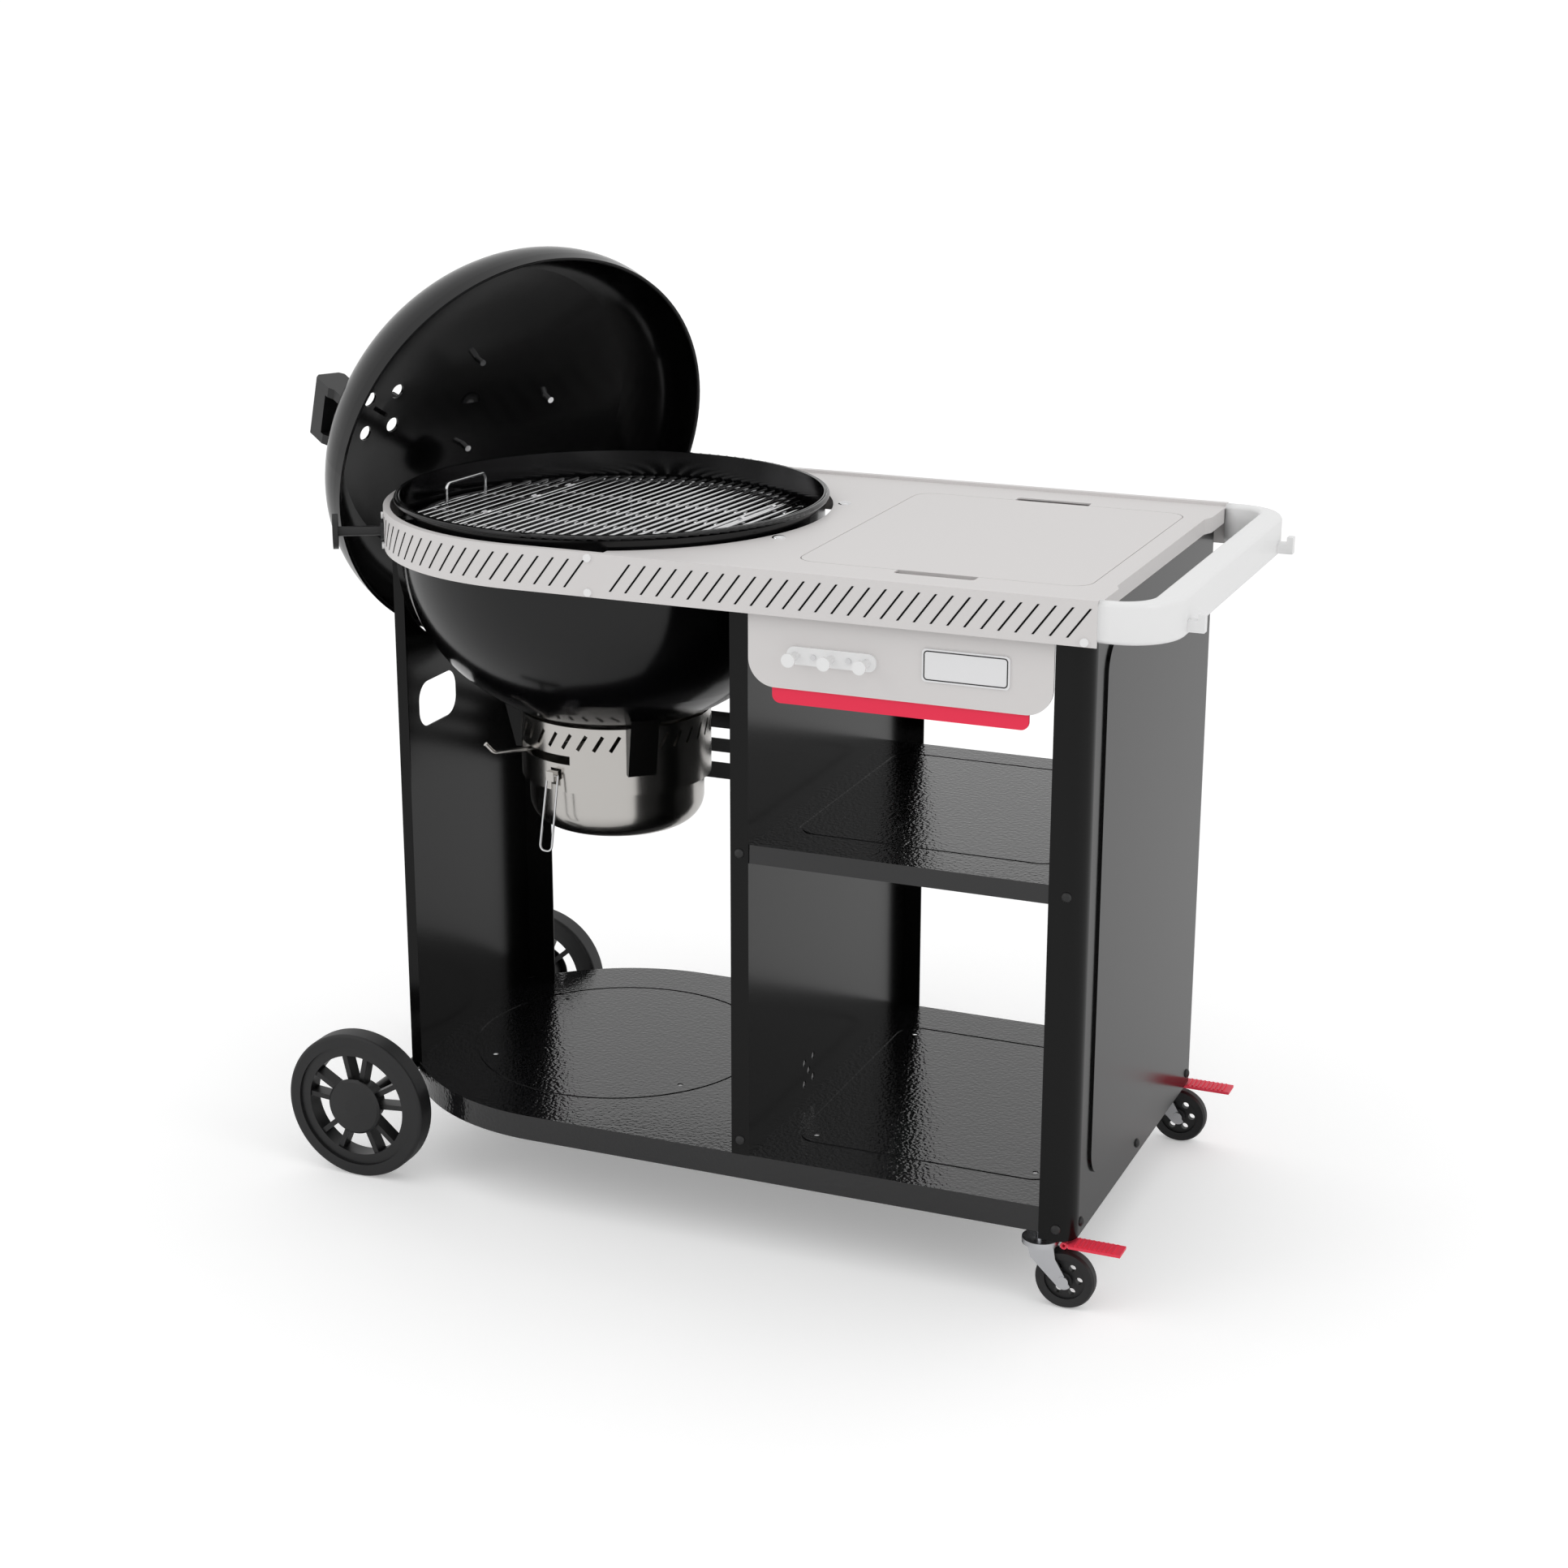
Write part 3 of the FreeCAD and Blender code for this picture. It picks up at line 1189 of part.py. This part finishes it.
fork = caster_fork()
HINGE_X, HINGE_Z = "31", "(%s + 5)" % SWIVEL
pedal_hub = solid("Cylinder", (HINGE_X, "-8", HINGE_Z), ALONG_Y, Radius="4.6", Height="16")
pedal_neck = solid("Box", (HINGE_X, "-8", HINGE_Z), Length="10", Width="16", Height="3")
pedal_plate = solid("Box", (HINGE_X + " + 7", "-pedal_width / 2", HINGE_Z), Length="pedal_length - 6",
                    Width="pedal_width", Height="3.5")
ribs = [solid("Box", (HINGE_X + " + %d" % (14 + 6 * index), "-pedal_width / 2 + 2", HINGE_Z + " + 3"),
              Length="2.4", Width="pedal_width - 4", Height="2") for index in range(9)]
pedal = cut(fuse(pedal_hub, pedal_neck, pedal_plate, *ribs),
            solid("Cylinder", (HINGE_X, "-20", HINGE_Z), ALONG_Y, Radius="2 + running_gap", Height="40"))
for side, sign in (("front", "-"), ("rear", "")):
    spot = ("caster_x", sign + "caster_y", "0")
    node("caster_fork_" + side, group(fork), None, spot)
    node("caster_wheel_" + side, group(caster_wheel), ALONG_Y,
         ("caster_x + caster_trail", sign + "caster_y", "caster_radius"))
    node("caster_pedal_" + side, group(pedal), None, spot)

# ---------------------------------------------------------------- screws and bolts

OUT_RIGHT = ALONG_X
OUT_FRONT = Rotation(Vector(1, 0, 0), 90)
places = [("cart_right", str(y), "base_bottom + 8", OUT_RIGHT) for y in (-250, 0, 250)]
for x, z in (("cart_right - post_width / 2", "base_bottom + 8"),
             ("cart_right - post_width / 2", "shelf_top - 12"),
             ("divider_right - divider_flange / 2", "shelf_top - 12"),
             ("divider_right - divider_flange / 2", "base_bottom + base_flange + 20")):
    places.append((x, "-half_depth", z, OUT_FRONT))
    places.append((x if "cart" in x else "divider_right + divider_flange / 2", "half_depth", z, ALONG_Y))
node("frame_bolts", group(*bolt_heads(places, "6.5", "4")))

rail_places = [("seam_x - 9", "-rail_radius", "table_top - 6", OUT_FRONT),
               ("seam_x - 9", "-rail_radius", "table_top - skirt + 6", OUT_FRONT),
               ("table_right - 14", "-rail_radius", "table_top - skirt + 6", OUT_FRONT),
               ("seam_x - 9", "rail_radius", "table_top - 6", ALONG_Y),
               ("seam_x - 9", "rail_radius", "table_top - skirt + 6", ALONG_Y),
               ("table_right - 14", "rail_radius", "table_top - skirt + 6", ALONG_Y)]
end_screws = []
drum = solid("Cylinder", Radius="rail_radius", Height="1000")
for level in ("peg_height + 20", "peg_height - 20"):
    head = solid("Cylinder", ("rail_radius - 1", "0", level), ALONG_X, Radius="4.5", Height="4")
    end_screws.append(turned(cut(head, drum), "peg_front_angle"))
node("rail_screws", group(*bolt_heads(rail_places, "5", "3"), *end_screws))
node("table_screws", group(*bolt_heads([("284", y, DECK, None) for y in ("-113", "113")], "9", "3")))
strip_places = [("hook_x " + step, "-%s - 3" % APRON_FRONT, "hook_z", OUT_FRONT)
                for step in ("- hook_pitch / 2", "+ hook_pitch / 2")]
node("strip_screws", group(*bolt_heads(strip_places, "3.5", "2")))

# ---------------------------------------------------------------- checks and export

doc.recompute()
os.makedirs("parts", exist_ok=True)
bad = [obj.Label for obj in doc.Objects if {"Invalid", "Error"} & set(obj.State)]
if bad:
    raise RuntimeError("features that did not build: " + ", ".join(bad))
whole = FreeCAD.BoundBox()
for label, obj in NODES.items():
    shape = obj.Shape
    if shape.isNull() or not shape.isValid() or not shape.Solids:
        raise RuntimeError("bad shape: " + label)
    shape.exportStep(os.path.join("parts", label + ".step"))
    whole.add(shape.BoundBox)
print("%d nodes, %s" % (len(NODES), whole))
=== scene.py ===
"""Kettle charcoal grill on a cart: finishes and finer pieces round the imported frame.

Lengths are in metres in the row's frame: +X from the kettle to the push handle, +Y to the
back and +Z up.  The kettle's axis is worked out from the bowl's own box.
"""

import math

import bmesh
import bpy
import numpy as np
from mathutils import Matrix, Vector


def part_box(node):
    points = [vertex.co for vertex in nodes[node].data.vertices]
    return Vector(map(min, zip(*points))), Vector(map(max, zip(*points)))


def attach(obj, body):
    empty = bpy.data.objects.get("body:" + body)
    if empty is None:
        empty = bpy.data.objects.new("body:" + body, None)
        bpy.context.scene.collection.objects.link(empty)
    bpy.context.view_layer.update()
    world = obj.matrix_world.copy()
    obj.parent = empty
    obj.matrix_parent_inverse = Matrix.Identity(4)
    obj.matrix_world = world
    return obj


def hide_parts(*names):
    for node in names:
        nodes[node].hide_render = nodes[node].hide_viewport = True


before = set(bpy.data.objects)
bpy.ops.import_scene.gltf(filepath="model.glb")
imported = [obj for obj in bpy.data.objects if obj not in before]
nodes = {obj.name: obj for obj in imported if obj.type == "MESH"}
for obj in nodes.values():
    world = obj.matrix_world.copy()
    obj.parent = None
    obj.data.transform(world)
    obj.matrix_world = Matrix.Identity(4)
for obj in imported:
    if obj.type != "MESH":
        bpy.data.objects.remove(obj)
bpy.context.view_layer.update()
MM = 0.001


def centre(node):
    low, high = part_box(node)
    return (Vector(low) + Vector(high)) / 2


BOWL = centre("kettle_bowl")
KETTLE = Vector((BOWL.x, BOWL.y, 0))


def spot(x, y, z):
    """Point given in millimetres from the kettle's axis and the ground."""
    return Vector((KETTLE.x + x * MM, KETTLE.y + y * MM, z * MM))


# ------------------------------------------------------------------ materials

def linear(hex_colour):
    """sRGB hex digits to linear red, green, blue and alpha."""
    parts = [int(hex_colour[i:i + 2], 16) / 255 for i in (0, 2, 4)]
    return [p / 12.92 if p <= 0.04045 else ((p + 0.055) / 1.055) ** 2.4 for p in parts] + [1.0]


def add(tree, kind, links=None, inputs=None, **settings):
    """Add a node; links maps its sockets to sources, and inputs maps sockets to values."""
    node = tree.nodes.new(kind)
    for name, setting in settings.items():
        setattr(node, name, setting)
    for socket, setting in (inputs or {}).items():
        node.inputs[socket].default_value = setting
    for socket, source in (links or {}).items():
        tree.links.new(source, node.inputs[socket])
    return node


def finish_of(name, colour, **shader):
    """Material with one shader and its constants; returns the material, tree and shader."""
    material = bpy.data.materials.new(name)
    material.use_nodes = True
    tree = material.node_tree
    tree.nodes.clear()
    surface = add(tree, "ShaderNodeBsdfPrincipled", inputs={"Base Color": linear(colour)})
    for socket, setting in shader.items():
        surface.inputs[socket.replace("_", " ")].default_value = setting
    add(tree, "ShaderNodeOutputMaterial", {"Surface": surface.outputs[0]})
    return material, tree, surface


def grain(tree, surface, size, height, stretch=(1, 1, 1), detail=2.0):
    """Bumps of a real size, from noise in the piece's own coordinates."""
    place = add(tree, "ShaderNodeTexCoord")
    scaled = add(tree, "ShaderNodeMapping", {"Vector": place.outputs["Object"]},
                 {"Scale": [s / size for s in stretch]})
    noise = add(tree, "ShaderNodeTexNoise", {"Vector": scaled.outputs[0]},
                {"Scale": 1.0, "Detail": detail, "Roughness": 0.5})
    bump = add(tree, "ShaderNodeBump", {"Height": noise.outputs["Fac"]},
               {"Distance": height, "Strength": 1.0})
    tree.links.new(bump.outputs[0], surface.inputs["Normal"])


# porcelain enamel, sprayed and fired: deep black with mirror gloss and a slow, wavy flow-out
ENAMEL, tree, surface = finish_of("porcelain enamel, fired black", "060607", Roughness=0.15, IOR=1.44)
grain(tree, surface, 30 * MM, 0.05 * MM)
# polyester powder coat over pressed steel: semi-gloss black with orange peel about 7 mm across
POWDER, tree, surface = finish_of("powder coat, semi-gloss black", "090909", Roughness=0.19, IOR=1.31)
grain(tree, surface, 7 * MM, 0.015 * MM)
# wrinkle powder coat: gloss black broken by close, hard-edged ripples 5 mm across
WRINKLE, tree, surface = finish_of("powder coat, rippled black", "131314", Roughness=0.13, IOR=1.6)
grain(tree, surface, 5.0 * MM, 0.6 * MM, detail=1.0)
# powder-coated steel, warm light grey, with a fine satin texture
GREY, tree, surface = finish_of("powder coat, warm light grey", "dad7d6", Roughness=0.42, IOR=1.5)
grain(tree, surface, 2.0 * MM, 0.012 * MM)
# glass-filled nylon, moulded: near white with a soft gloss
WHITE, _, _ = finish_of("nylon, moulded white", "eeeeee", Roughness=0.24, IOR=1.53)
# powder-coated steel, signal red
RED, _, _ = finish_of("powder coat, red", "f03252", Roughness=0.4, IOR=1.35)
# polypropylene, moulded red: soft sheen
RED_PLASTIC, _, _ = finish_of("polypropylene, moulded red", "ee3650", Roughness=0.45, IOR=1.49)
# ferritic stainless sheet, spun and brushed round the axis: long fine streaks
STAINLESS, tree, surface = finish_of("stainless steel, spun and brushed", "c9c6c2", Metallic=1.0,
                                     Roughness=0.2)
grain(tree, surface, 1.4 * MM, 0.02 * MM, stretch=(0.02, 0.02, 1.0))
# nickel-chrome plated wire: bright mirror
CHROME, _, _ = finish_of("chrome plate on steel wire", "dcdcdd", Metallic=1.0, Roughness=0.1)
# zinc plated pressed steel: soft bluish silver
ZINC, _, _ = finish_of("zinc plate, bright", "cfd0d3", Metallic=1.0, Roughness=0.26)
# glass-filled nylon, moulded black: dull with a faint spark texture
BLACK_NYLON, tree, surface = finish_of("nylon, moulded black", "101011", Roughness=0.42, IOR=1.53)
grain(tree, surface, 1.2 * MM, 0.02 * MM)
# blow-moulded polyethylene tyre: dark, slightly greyer and duller
TYRE, tree, surface = finish_of("polyethylene, blow-moulded tyre", "171718", Roughness=0.5, IOR=1.5)
grain(tree, surface, 2.0 * MM, 0.05 * MM)
# openings cut through sheet, drawn as dark plates: painted shade for the dark inside of the cart seen through
# them
SLOT_SHADE, _, _ = finish_of("cut opening, painted shade inside", "020202", Roughness=0.9, IOR=1.3)
# aluminium badge, painted white and left blank
BADGE, _, _ = finish_of("aluminium badge, blank white", "e9e9ea", Roughness=0.3, IOR=1.5)

FINISHES = {
    ENAMEL: ("kettle_bowl", "lid_shell"),
    POWDER: ("left_side_panel", "right_side_panel", "divider_panel", "rear_brace", "axle_struts", "bowl_lugs",
             "ash_shields", "axle_sleeve", "caster_sockets", "lid_cradle", "lid_damper"),
    WRINKLE: ("base_shelf", "middle_shelf"),
    GREY: ("work_table", "curved_rail", "drop_in_panel", "control_apron"),
    WHITE: ("handle_bar", "handle_hooks", "hook_strip", "tool_hooks", "rail_screws"),
    RED: ("accent_panel",),
    RED_PLASTIC: ("caster_pedal_front", "caster_pedal_rear"),
    STAINLESS: ("ash_collar", "ash_bucket", "ash_sweeper", "bail_clip"),
    CHROME: ("cooking_grate", "grate_flap_left", "grate_flap_right", "bucket_bail", "table_screws",
             "strip_screws", "lid_bolts"),
    ZINC: ("caster_fork_front", "caster_fork_rear", "caster_stems", "wheel_axle", "charcoal_grate",
           "grate_supports"),
    BLACK_NYLON: ("lid_handle", "lid_side_grip", "lid_pegs", "frame_bolts", "wheel_hub_front",
                  "wheel_hub_rear", "wheel_cap_front", "wheel_cap_rear", "lid_thermometer"),
    TYRE: ("wheel_tyre_front", "wheel_tyre_rear", "caster_wheel_front", "caster_wheel_rear"),
    BADGE: ("badge_plate",),
}


def paint(obj, material):
    obj.data.materials.clear()
    obj.data.materials.append(material)


for material, names in FINISHES.items():
    for name in names:
        paint(nodes[name], material)

# ------------------------------------------------------------------ surfaces

def surface_mesh(name, points, faces, material, smooth=True):
    """Mesh from an array of points and an array of four-cornered faces."""
    mesh = bpy.data.meshes.new(name)
    mesh.from_pydata(points.reshape(-1, 3).tolist(), [], faces.reshape(-1, 4).tolist())
    mesh.materials.append(material)
    mesh.polygons.foreach_set("use_smooth", np.full(len(mesh.polygons), smooth))
    mesh.validate()
    shell = bmesh.new()
    shell.from_mesh(mesh)
    if shell.calc_volume(signed=True) < 0:
        bmesh.ops.reverse_faces(shell, faces=shell.faces)
    shell.to_mesh(mesh)
    shell.free()
    mesh.update()
    obj = bpy.data.objects.new(name, mesh)
    bpy.context.scene.collection.objects.link(obj)
    return obj


def grid_faces(rows, columns, wrap_rows=False, wrap_columns=False):
    """Quads between neighbouring points of a grid, with either way closed on itself."""
    r = np.arange(rows if wrap_rows else rows - 1)
    c = np.arange(columns if wrap_columns else columns - 1)
    r, c = np.meshgrid(r, c, indexing="ij")
    r2, c2 = (r + 1) % rows, (c + 1) % columns
    return np.stack([r * columns + c, r * columns + c2, r2 * columns + c2, r2 * columns + c], axis=-1)


def many(count, rows, columns, **wrap):
    """Faces of several equal grids whose points follow one another."""
    one = grid_faces(rows, columns, **wrap).reshape(-1, 4)
    return (one[None] + (np.arange(count) * rows * columns)[:, None, None]).reshape(-1, 4)


RAIL_RADIUS = (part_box("curved_rail")[1][1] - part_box("curved_rail")[0][1]) / 2
SKIRT_LOW, SKIRT_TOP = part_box("curved_rail")[0][2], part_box("curved_rail")[1][2]
SEAM_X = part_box("curved_rail")[1][0] - KETTLE.x
TABLE_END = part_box("work_table")[1][0] - KETTLE.x


def along_skirt(u, out):
    """Plan point at a run u along the skirt, a distance out from its face.

    From the front middle u is plain X while positive; a negative u turns clockwise seen from
    above round the kettle as far as the back, and past there runs straight back along +X.
    """
    radius = RAIL_RADIUS + out
    turn = np.clip(-u / RAIL_RADIUS, 0, math.pi)
    x = np.where(u > 0, u, -np.sin(turn) * radius)
    y = -np.cos(turn) * radius
    beyond = -u - math.pi * RAIL_RADIUS
    x = np.where(beyond > 0, beyond, x)
    return x + KETTLE.x, y + KETTLE.y


def slot_marks():
    """Slanted openings of the skirt as thin dark plates that follow its face: painted shade for the dark
    inside seen through them.

    Each plate is a grid: along the slot, s runs 0 to 1 and rises with the run u; across it are
    the four corners of a flat section, in and out of the skirt's face.
    """
    pitch, width, rise, run = 20.6 * MM, 2.3 * MM, 36 * MM, 27 * MM
    middle = (SKIRT_LOW + SKIRT_TOP) / 2
    first = -(2 * SEAM_X + math.pi * RAIL_RADIUS) + SEAM_X + 8 * MM
    starts = np.arange(first, TABLE_END - run - 6 * MM, pitch)
    clear = np.abs(starts + run / 2 - SEAM_X) > run / 2
    starts = starts[clear]
    s = np.linspace(0, 1, 9)
    half = width / 2 * np.sqrt(1 + (rise / run) ** 2) / (rise / run)
    side = np.array([-half, half, half, -half])
    depth = np.array([-0.3, -0.3, 0.25, 0.25]) * MM
    u = starts[:, None, None] + s[None, :, None] * run + side[None, None, :]
    z = np.broadcast_to(middle - rise / 2 + s[None, :, None] * rise, u.shape)
    x, y = along_skirt(u, np.broadcast_to(depth, u.shape))
    points = np.stack([x, y, z], axis=-1)
    faces = many(len(starts), 9, 4, wrap_columns=True)
    return surface_mesh("skirt_slots", points, faces, SLOT_SHADE, smooth=False)


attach(slot_marks(), "cart")


def rounded_section(width, height, radius, count=24):
    """Closed rounded rectangle: a circle's quarters pushed out to the four corners."""
    turn = (np.arange(count) + 0.5) * 2 * math.pi / count
    across = np.sign(np.cos(turn)) * (width / 2 - radius) + radius * np.cos(turn)
    upward = np.sign(np.sin(turn)) * (height / 2 - radius) + radius * np.sin(turn)
    return across, upward


def rounded_u(reach, half, corner, stations=14):
    """Plan path of the push handle: arm, quarter circle, bar, quarter circle, arm."""
    turn = np.linspace(0, math.pi / 2, stations)
    x = reach - corner + corner * np.sin(turn)
    y = -half + corner - corner * np.cos(turn)
    return np.concatenate([x, x[::-1]]), np.concatenate([y, -y[::-1]])


def push_handle():
    """Swept rounded rectangle between two plan paths, narrow at the arms and wide at the bar."""
    low, high = (np.array(corner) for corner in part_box("handle_bar"))
    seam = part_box("work_table")[1][0]
    reach, half = high[0] - KETTLE.x, (high[1] - low[1]) / 2
    corner, bar, arm = 70 * MM, 34 * MM, 16 * MM
    outer = rounded_u(reach, half, corner)
    inner = rounded_u(reach - bar, half - arm, corner - bar)
    ends = [np.full(1, seam - KETTLE.x), np.full(1, -half), np.full(1, -half + arm)]
    ox, oy = (np.concatenate([a, outer[i], b]) for i, a, b in ((0, ends[0], ends[0]), (1, ends[1], -ends[1])))
    ix, iy = (np.concatenate([a, inner[i], b]) for i, a, b in ((0, ends[0], ends[0]), (1, ends[2], -ends[2])))
    middle = np.stack([(ox + ix) / 2, (oy + iy) / 2], axis=-1)
    across = np.stack([ox - ix, oy - iy], axis=-1)
    width = np.linalg.norm(across, axis=-1)
    across = across / width[:, None]
    rows = []
    height = high[2] - low[2]
    for squeeze, index in [(0, 0)] + [(1, i) for i in range(len(ox))] + [(0, len(ox) - 1)]:
        side, up = rounded_section(width[index], height, 7 * MM)
        plan = middle[index] + across[index] * side[:, None] * squeeze
        z = (low[2] + high[2]) / 2 + up * squeeze
        rows.append(np.column_stack([plan[:, 0] + KETTLE.x, plan[:, 1] + KETTLE.y, z]))
    points = np.array(rows)
    return surface_mesh("push_handle", points, grid_faces(len(rows), 24, wrap_columns=True), WHITE)


handle = push_handle()
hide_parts("handle_bar")
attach(handle, "cart")


def domes(name, places, radius, height, material):
    """Button heads: a quarter ellipse turned about each place's own normal."""
    rise = np.linspace(0, math.pi / 2, 7)
    turn = np.arange(16) * 2 * math.pi / 16
    heads = []
    for place, normal in places:
        normal = np.array(Vector(normal).normalized())
        side = np.array(Vector(normal).orthogonal().normalized())
        other = np.cross(normal, side)
        ring = np.cos(turn)[:, None] * side + np.sin(turn)[:, None] * other
        head = np.array(place) + normal * (height * np.sin(rise))[:, None, None] \
            + ring[None] * (radius * np.cos(rise))[:, None, None]
        heads.append(head)
    points = np.array(heads)
    faces = many(len(places), 7, 16, wrap_columns=True)
    return surface_mesh(name, points, faces, material)


def loose_boxes(node):
    """Low and high corners of each separate piece of a frame node."""
    matrix = nodes[node].matrix_world
    work = bmesh.new()
    work.from_mesh(nodes[node].data)
    bmesh.ops.remove_doubles(work, verts=work.verts, dist=1e-6)
    left = set(work.verts)
    boxes = []
    while left:
        stack = [left.pop()]
        piece = list(stack)
        while stack:
            for edge in stack.pop().link_edges:
                for vert in edge.verts:
                    if vert in left:
                        left.remove(vert)
                        stack.append(vert)
                        piece.append(vert)
        points = np.array([matrix @ vert.co for vert in piece])
        boxes.append((points.min(axis=0), points.max(axis=0)))
    work.free()
    return boxes


def flat_heads(node, material, name):
    """Domed heads in place of plain discs; each disc's normal is its thinnest way, outwards."""
    places, size = [], None
    for low, high in loose_boxes(node):
        span = high - low
        way = int(np.argmin(span))
        if way == 2:
            sign = 1.0
        else:
            inner = (low + high)[way] / 2 - (0.0, KETTLE.y)[way]
            sign = math.copysign(1.0, inner)
        normal = np.zeros(3)
        normal[way] = sign
        base = (low + high) / 2 - normal * span[way] / 2
        places.append((base, normal))
        size = (np.sort(span)[1] / 2, span[way])
    heads = domes(name, places, size[0] * 0.99, size[1], material)
    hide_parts(node)
    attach(heads, "cart")


def badge_border():
    """Thin dark frame let into the badge: a flat section carried round a rounded rectangle."""
    low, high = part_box("badge_plate")
    width, height = high[0] - low[0], high[2] - low[2]
    corner, outer, inner = 7 * MM, 2 * MM, 3.4 * MM
    back, front = low[1] + 0.2 * MM, low[1] - 0.25 * MM
    rows = []
    for inset, y in ((outer, back), (outer, front), (inner, front), (inner, back)):
        x, z = rounded_section(width - 2 * inset, height - 2 * inset, corner - inset)
        rows.append(np.column_stack([x + (low[0] + high[0]) / 2, np.full(len(x), y),
                                     z + (low[2] + high[2]) / 2]))
    faces = grid_faces(4, 24, wrap_rows=True, wrap_columns=True)
    return surface_mesh("badge_border", np.array(rows), faces, BLACK_NYLON, smooth=False)


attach(badge_border(), "cart")
flat_heads("table_screws", CHROME, "table_screw_heads")
flat_heads("frame_bolts", BLACK_NYLON, "frame_bolt_heads")

# ------------------------------------------------------------------ floor, light and camera

def seen_directly(tree, socket, level, extra):
    """Strength with one level for the light it gives, and more where the camera sees it."""
    path = add(tree, "ShaderNodeLightPath")
    total = add(tree, "ShaderNodeMath", {0: path.outputs["Is Camera Ray"]}, {1: extra, 2: level},
                operation="MULTIPLY_ADD")
    tree.links.new(total.outputs[0], socket)


def stage_floor():
    """Large flat square at ground height, lit through from below like a light table."""
    reach = 30.0
    points = np.array([[-reach, -reach, 0], [reach, -reach, 0], [reach, reach, 0], [-reach, reach, 0]])
    material, tree, surface = finish_of("acrylic floor, opal and lit from below", "f4f4f4", Roughness=0.9,
                                        Emission_Color=(1, 1, 1, 1))
    seen_directly(tree, surface.inputs["Emission Strength"], 0.0, 0.27)
    return surface_mesh("floor", points, np.array([[0, 1, 2, 3]]), material, smooth=False)


stage_floor()

world = bpy.data.worlds.new("studio")
bpy.context.scene.world = world
world.use_nodes = True
world.node_tree.nodes["Background"].inputs["Color"].default_value = (1, 1, 1, 1)
seen_directly(world.node_tree, world.node_tree.nodes["Background"].inputs["Strength"], 0.86, 0.2)


def softbox(name, place, target, width, height, power):
    light = bpy.data.lights.new(name, "AREA")
    light.shape = "RECTANGLE"
    light.size, light.size_y, light.energy = width, height, power
    obj = bpy.data.objects.new(name, light)
    obj.location = place
    obj.rotation_euler = (Vector(target) - Vector(place)).to_track_quat("-Z", "Y").to_euler()
    bpy.context.scene.collection.objects.link(obj)


softbox("key", (-2.6, -3.0, 3.4), (0, 0, 0.6), 1.6, 2.2, 12)
softbox("fill", (3.6, -1.6, 2.2), (0, 0, 0.5), 1.4, 2.4, 10)
softbox("top", (0.2, 0.4, 4.2), (0, 0, 0.5), 2.6, 2.6, 4)

VIEW_AZIMUTH, VIEW_ELEVATION, VIEW_ROLL = (math.radians(a) for a in (22.5, 17.28, 0.08))


def camera():
    """Camera at the kettle's frame position found for the object, turned by three angles."""
    data = bpy.data.cameras.new("camera")
    data.lens = 65.54
    data.sensor_width = 36
    data.clip_end = 100
    obj = bpy.data.objects.new("camera", data)
    az, el = VIEW_AZIMUTH, VIEW_ELEVATION
    back = Vector((math.sin(az) * math.cos(el), -math.cos(az) * math.cos(el), math.sin(el)))
    right = Vector((math.cos(az), math.sin(az), 0))
    up = back.cross(right)
    turn = Matrix((right, up, back)).transposed()
    roll = Matrix.Rotation(VIEW_ROLL, 3, "Z")
    obj.matrix_world = Matrix.Translation(spot(1625.07, -3332.34, 1660.3)) @ (turn @ roll).to_4x4()
    bpy.context.scene.collection.objects.link(obj)
    bpy.context.scene.camera = obj


camera()
bpy.context.scene.view_settings.view_transform = "Standard"
